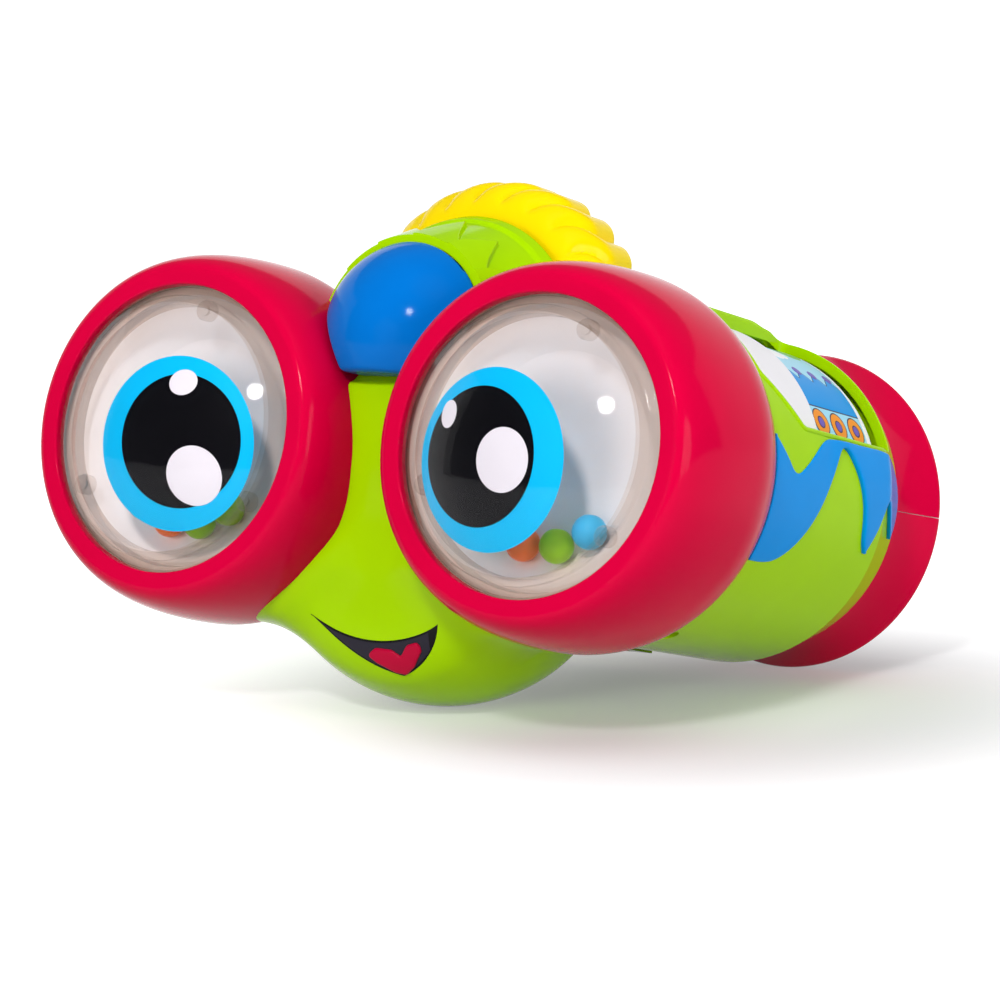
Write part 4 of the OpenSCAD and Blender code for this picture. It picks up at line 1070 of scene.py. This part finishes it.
window = counterclockwise(soften([(math.radians(a) * BARREL_R, y, r) for a, y, r in WINDOW]))
window = dense(window, WINDOW_PITCH)
BAND_INSET = 0.1
BAND_R = BARREL_R - SHELL_WALL - taper_at(DRUM_REAR_Y) - DRUM_CLEAR - BAND_INSET
BAND_T = 0.45
BAND_Y = (60.0, 84.6)
BAND_STEPS = 180
PICTURE_Y = (BAND_Y[0], BAND_Y[1] - 1.3)
PICTURE_TURNS = range(0, 360, 90)
PRINT_SKY = surface("print_sky", (165, 222, 243), rough=0.35, spread=0.03)
PRINT_SEA = surface("print_sea", (10, 150, 228), rough=0.35, spread=0.03)
PRINT_SUN = surface("print_sun", (245, 150, 40), rough=0.35, spread=0.03)
PRINT_HILL = surface("print_hill", (120, 190, 70), rough=0.35, spread=0.03)
PRINT_DOT = surface("print_dot", (110, 90, 185), rough=0.35, spread=0.03)
PRINT_CLOUD = surface("print_cloud", (250, 250, 252), rough=0.35, spread=0.02)
PRINT_LINE = surface("print_line", (52, 48, 78), rough=0.35, spread=0.03)
PICTURES = [PRINT, PRINT_SKY, PRINT_SEA, PRINT_SUN, PRINT_HILL, PRINT_DOT, PRINT_CLOUD, PRINT_LINE]
SKY_INK, SEA_INK, SUN_INK, HILL_INK, DOT_INK, CLOUD_INK, LINE_INK = range(1, len(PICTURES))
INK_EDGE = 0.01
# Lower and upper angle, height and count of the waves, lift, pitch and ink of each strip
STRIPS = (
    (0, 89.9, 0, 1, 0.03, 2.0, SKY_INK),
    (33.5, 47.6, 2.6, 4, 0.04, 1.5, LINE_INK),
    (34, 47, 2.6, 4, 0.06, 1.5, SEA_INK),
    (2, 15.6, 4.0, 2, 0.05, 1.5, LINE_INK),
    (2, 15, 4.0, 2, 0.07, 1.5, HILL_INK),
)
RING_ANGLE = 27
RING_YS = (64.5, 72.0, 79.5)
# Radius, lift, pitch and ink of each disc of a ring
RING_DISCS = (
    (3.2, 0.07, 1.2, LINE_INK),
    (2.9, 0.08, 1.2, SUN_INK),
    (1.4, 0.09, 0.8, LINE_INK),
    (1.1, 0.10, 0.8, DOT_INK),
)
DOT_ANGLE = 52.5
DOT_YS = (68.0, 74.5, 81.0)
CLOUD_ANGLE = 66
CLOUDS = ((65.0, 2.4), (68.0, 3.0), (71.2, 2.2))
# Angle, y, radius, stretch, lift, pitch and ink of the other discs
DISCS = (
    *((DOT_ANGLE, y, 1.3, 1, 0.09, 0.8, DOT_INK) for y in DOT_YS),
    *((CLOUD_ANGLE, y, r, 1, 0.05 + 0.01 * r, 1.0, CLOUD_INK) for y, r in CLOUDS),
    (72, 79, 3.4, 1.3, 0.07, 1.2, HILL_INK),
    *((RING_ANGLE, y, r, 1, lift, pitch, ink) for y in RING_YS for r, lift, pitch, ink in RING_DISCS),
)


def strip(low_angle, high_angle, wave, count):
    """A strip between two angles of the band, with a wavy upper edge."""
    low_y, high_y = PICTURE_Y
    out = [(math.radians(low_angle) * BAND_R, y) for y in np.linspace(low_y, high_y, 40)]
    for y in np.linspace(high_y, low_y, 60):
        lift = wave * abs(math.sin(math.pi * count * (y - low_y) / (high_y - low_y)))
        out.append((math.radians(high_angle) * BAND_R + lift, y))
    return out


def disc(angle, y, r, stretch):
    """A disc on the band, stretched along y."""
    centre = math.radians(angle) * BAND_R
    return [
        (centre + r * math.cos(t), y + stretch * r * math.sin(t))
        for t in np.linspace(0, 2 * math.pi, 40, endpoint=False)
    ]


for side, way in SIDES.items():
    place = on_barrel(way, BORE_R - BARREL_R)
    form = Form().put(*pad(flow(TRIM), TRIM_T, TRIM_EDGE, 0, TRIM_PITCH, place))
    finish_piece("trim_" + side, form, ROOT, [SKY], ["side_trim_" + side])
    place = on_shell(way)
    points = np.vstack([place(*inset(window, -shift).T, h) for shift, h in RIM_SECTION])
    form = Form().put(points, grid_faces(len(RIM_SECTION), len(window), wrap=True))
    finish_piece("window_rim_" + side, form, ROOT, [LIME])
    place = on_drum(way, BAND_R)
    inner_r = BAND_R - BAND_T
    band = [(inner_r, BAND_Y[0]), (BAND_R, BAND_Y[0]), (BAND_R, BAND_Y[1]), (inner_r, BAND_Y[1])]
    form = Form().put(*lathe(band, (way * EYE_X, 0), steps=BAND_STEPS), 0)
    for turn in PICTURE_TURNS:
        for low, high, wave, count, lift, pitch, ink in STRIPS:
            outline = strip(turn + low, turn + high, wave, count)
            form.put(*pad(outline, lift, INK_EDGE, 0, pitch, place), ink)
        for angle, y, r, stretch, lift, pitch, ink in DISCS:
            form.put(*pad(disc(turn + angle, y, r, stretch), lift, INK_EDGE, 0, pitch, place), ink)
    finish_piece("picture_" + side, form, "drum_" + side, PICTURES, ["picture_band_" + side])


# Rear cups

CUP_Y = 94.05
CUP_REAR_Y = 110.45
CUP_NECK_R = 30
CUP_LIP_R = 34.1
LIP_BEAD_R = 1.6
CUP_FLOOR_Y = 97.05
CUP_FLOOR_R = 24
EYEPIECE_R = 16
EYEPIECE_GAP = 0.05
NECK_ROUND = 0.3
NECK_LEN = 1
NECK_DRAFT = 0.02
CUP_FLARE_POWER = 1.7
CUP_FLARE_START_SHARE = 0.1
CUP_BORE_R = EYEPIECE_R + EYEPIECE_GAP
lip_y = CUP_REAR_Y - LIP_BEAD_R
lip_in_r = CUP_LIP_R - 2 * LIP_BEAD_R
neck = [
    (CUP_NECK_R - NECK_LEN, CUP_Y, 0),
    (CUP_NECK_R, CUP_Y, NECK_ROUND),
    (CUP_NECK_R + NECK_DRAFT, CUP_Y + NECK_LEN, 0),
]
cup_profile = [(CUP_BORE_R, CUP_Y)] + soften(neck)
for t in np.linspace(CUP_FLARE_START_SHARE, 1, 20):
    r = CUP_NECK_R + (CUP_LIP_R - CUP_NECK_R) * t**CUP_FLARE_POWER
    cup_profile.append((r, CUP_Y + (lip_y - CUP_Y) * t))
for a in np.linspace(0, math.pi, 16)[1:]:
    r = CUP_LIP_R - LIP_BEAD_R + LIP_BEAD_R * math.cos(a)
    cup_profile.append((r, lip_y + LIP_BEAD_R * math.sin(a)))
for t in np.linspace(0, 1, 12)[1:]:
    r = lip_in_r + (CUP_FLOOR_R - lip_in_r) * t
    cup_profile.append((r, lip_y + (CUP_FLOOR_Y - lip_y) * math.sin(t * math.pi / 2)))
cup_profile += [(CUP_BORE_R, CUP_FLOOR_Y)]
CUP_STEPS = 97
SEAM = 0.12
for side, way in SIDES.items():
    for half, span in (("upper", (SEAM, 180 - SEAM)), ("lower", (180 + SEAM, 360 - SEAM))):
        form = Form().put(*lathe(cup_profile, (way * EYE_X, 0), steps=CUP_STEPS, span=span))
        name = f"rear_cup_{half}_{side}"
        finish_piece("cup_" + half + "_" + side, form, ROOT, [CRIMSON], [name])


# Stage: pale floor, backdrop, lamps and camera

PAPER = (0.6, 0.6, 0.6, 1)
GLOW_NEAR = 0.22
GLOW_FAR = 1.0
GLOW_RUN = (0.03, 0.145)
GLOW_CENTRE = (0.055, 0.015, 0)
FLOOR_R = 9.0
BACKDROP_R = 5.0
BACKDROP_H = 3.0
BACKDROP_TURN = 124
BACKDROP_HALF = 80
WORLD_TINT = (0.9, 0.95, 1, 1)
WORLD_LEVEL = 0.25
LAMP_TARGET = Vector((0, 0, 0.05))
# Name, azimuth, elevation, distance, size, power and whether the toy mirrors it
LAMPS = (
    ("key", 19, 37, 1.6, 0.2, 10, True),
    ("front", -6, 12, 1.7, 1.0, 9.4, False),
    ("top", 60, 66, 1.5, 1.0, 6.2, False),
    ("right", 80, 9, 1.6, 0.9, 11, True),
)


def paper(name):
    """White paper that keeps the shadow and goes to white away from the toy."""
    paint = bpy.data.materials.new(name)
    paint.use_nodes = True
    nodes, links = paint.node_tree.nodes, paint.node_tree.links
    nodes.remove(nodes["Principled BSDF"])
    place = nodes.new("ShaderNodeTexCoord")
    length = nodes.new("ShaderNodeVectorMath")
    length.operation = "DISTANCE"
    length.inputs[1].default_value = GLOW_CENTRE
    links.new(place.outputs["Object"], length.inputs[0])
    ramp = nodes.new("ShaderNodeMapRange")
    ramp.interpolation_type = "SMOOTHSTEP"
    for key, run in (("From", GLOW_RUN), ("To", (GLOW_NEAR, GLOW_FAR))):
        ramp.inputs[key + " Min"].default_value = run[0]
        ramp.inputs[key + " Max"].default_value = run[1]
    links.new(length.outputs["Value"], ramp.inputs["Value"])
    path = nodes.new("ShaderNodeLightPath")
    seen = nodes.new("ShaderNodeMath")
    seen.operation = "MAXIMUM"
    links.new(path.outputs["Is Camera Ray"], seen.inputs[0])
    links.new(path.outputs["Is Glossy Ray"], seen.inputs[1])
    seen_all = nodes.new("ShaderNodeMath")
    seen_all.operation = "MAXIMUM"
    links.new(seen.outputs[0], seen_all.inputs[0])
    links.new(path.outputs["Is Transmission Ray"], seen_all.inputs[1])
    level = nodes.new("ShaderNodeMath")
    level.operation = "MULTIPLY"
    links.new(ramp.outputs["Result"], level.inputs[0])
    links.new(seen_all.outputs[0], level.inputs[1])
    glow = nodes.new("ShaderNodeEmission")
    links.new(level.outputs[0], glow.inputs["Strength"])
    matt = nodes.new("ShaderNodeBsdfDiffuse")
    matt.inputs["Color"].default_value = PAPER
    both = nodes.new("ShaderNodeAddShader")
    links.new(glow.outputs["Emission"], both.inputs[0])
    links.new(matt.outputs["BSDF"], both.inputs[1])
    links.new(both.outputs["Shader"], nodes["Material Output"].inputs["Surface"])
    return paint


mesh = bpy.data.meshes.new("floor")
corners = [(FLOOR_R * x, FLOOR_R * y, 0) for x, y in ((-1, -1), (1, -1), (1, 1), (-1, 1))]
mesh.from_pydata(corners, [], [(0, 1, 2, 3)])
mesh.materials.append(paper("paper"))
floor = bpy.data.objects.new("floor", mesh)
bpy.context.scene.collection.objects.link(floor)
arc = [math.radians(BACKDROP_TURN + a) for a in range(-BACKDROP_HALF, BACKDROP_HALF + 1, 5)]
points = [(BACKDROP_R * math.cos(a), BACKDROP_R * math.sin(a), z) for z in (0, BACKDROP_H) for a in arc]
mesh = bpy.data.meshes.new("backdrop")
mesh.from_pydata(points, [], grid_faces(2, len(arc)))
mesh.materials.append(floor.data.materials[0])
backdrop = bpy.data.objects.new("backdrop", mesh)
bpy.context.scene.collection.objects.link(backdrop)

world = bpy.data.worlds.new("studio")
world.use_nodes = True
world.node_tree.nodes["Background"].inputs["Color"].default_value = WORLD_TINT
world.node_tree.nodes["Background"].inputs["Strength"].default_value = WORLD_LEVEL
scene = bpy.context.scene
scene.world = world
scene.view_settings.view_transform = "Standard"


def softbox(name, azimuth, elevation, distance, size, power, mirrored):
    """A round lamp that faces the toy. Azimuth 0 is straight ahead of it and grows to the right."""
    a, e = math.radians(azimuth), math.radians(elevation)
    away = Vector((math.sin(a) * math.cos(e), -math.cos(a) * math.cos(e), math.sin(e)))
    data = bpy.data.lights.new(name, "AREA")
    data.shape = "DISK"
    data.size = size
    data.energy = power
    lamp = bpy.data.objects.new(name, data)
    lamp.location = LAMP_TARGET + away * distance
    lamp.rotation_euler = away.to_track_quat("Z", "Y").to_euler()
    lamp.visible_glossy = mirrored
    scene.collection.objects.link(lamp)


for lamp in LAMPS:
    softbox(*lamp)

# Camera at the photo's angle, in the toy's frame
CAM_AZIMUTH = 33.74
CAM_ELEVATION = -4.04
CAM_ROLL = 6.08
CAM_DISTANCE = 717.4
CAM_TARGET = Vector((39.21, 0, -10.86))
CAM_FOCAL = 3.71425
SENSOR_W = 36
CLIP_END = 50
a, e, r = (math.radians(v) for v in (CAM_AZIMUTH, CAM_ELEVATION, CAM_ROLL))
away = Vector((math.sin(a) * math.cos(e), -math.cos(a) * math.cos(e), math.sin(e)))
level_right = Vector((0, 0, 1)).cross(away).normalized()
level_up = away.cross(level_right)
cam_right = level_right * math.cos(r) + level_up * math.sin(r)
cam_up = level_up * math.cos(r) - level_right * math.sin(r)
stand = Matrix((cam_right, cam_up, away)).transposed().to_4x4()
data = bpy.data.cameras.new("camera")
data.sensor_width = SENSOR_W
data.lens = CAM_FOCAL * SENSOR_W
data.clip_end = CLIP_END
camera = bpy.data.objects.new("camera", data)
camera.matrix_world = Matrix.Translation(TOY @ (CAM_TARGET + away * CAM_DISTANCE)) @ turned @ stand
scene.collection.objects.link(camera)
scene.camera = camera

bpy.context.view_layer.update()
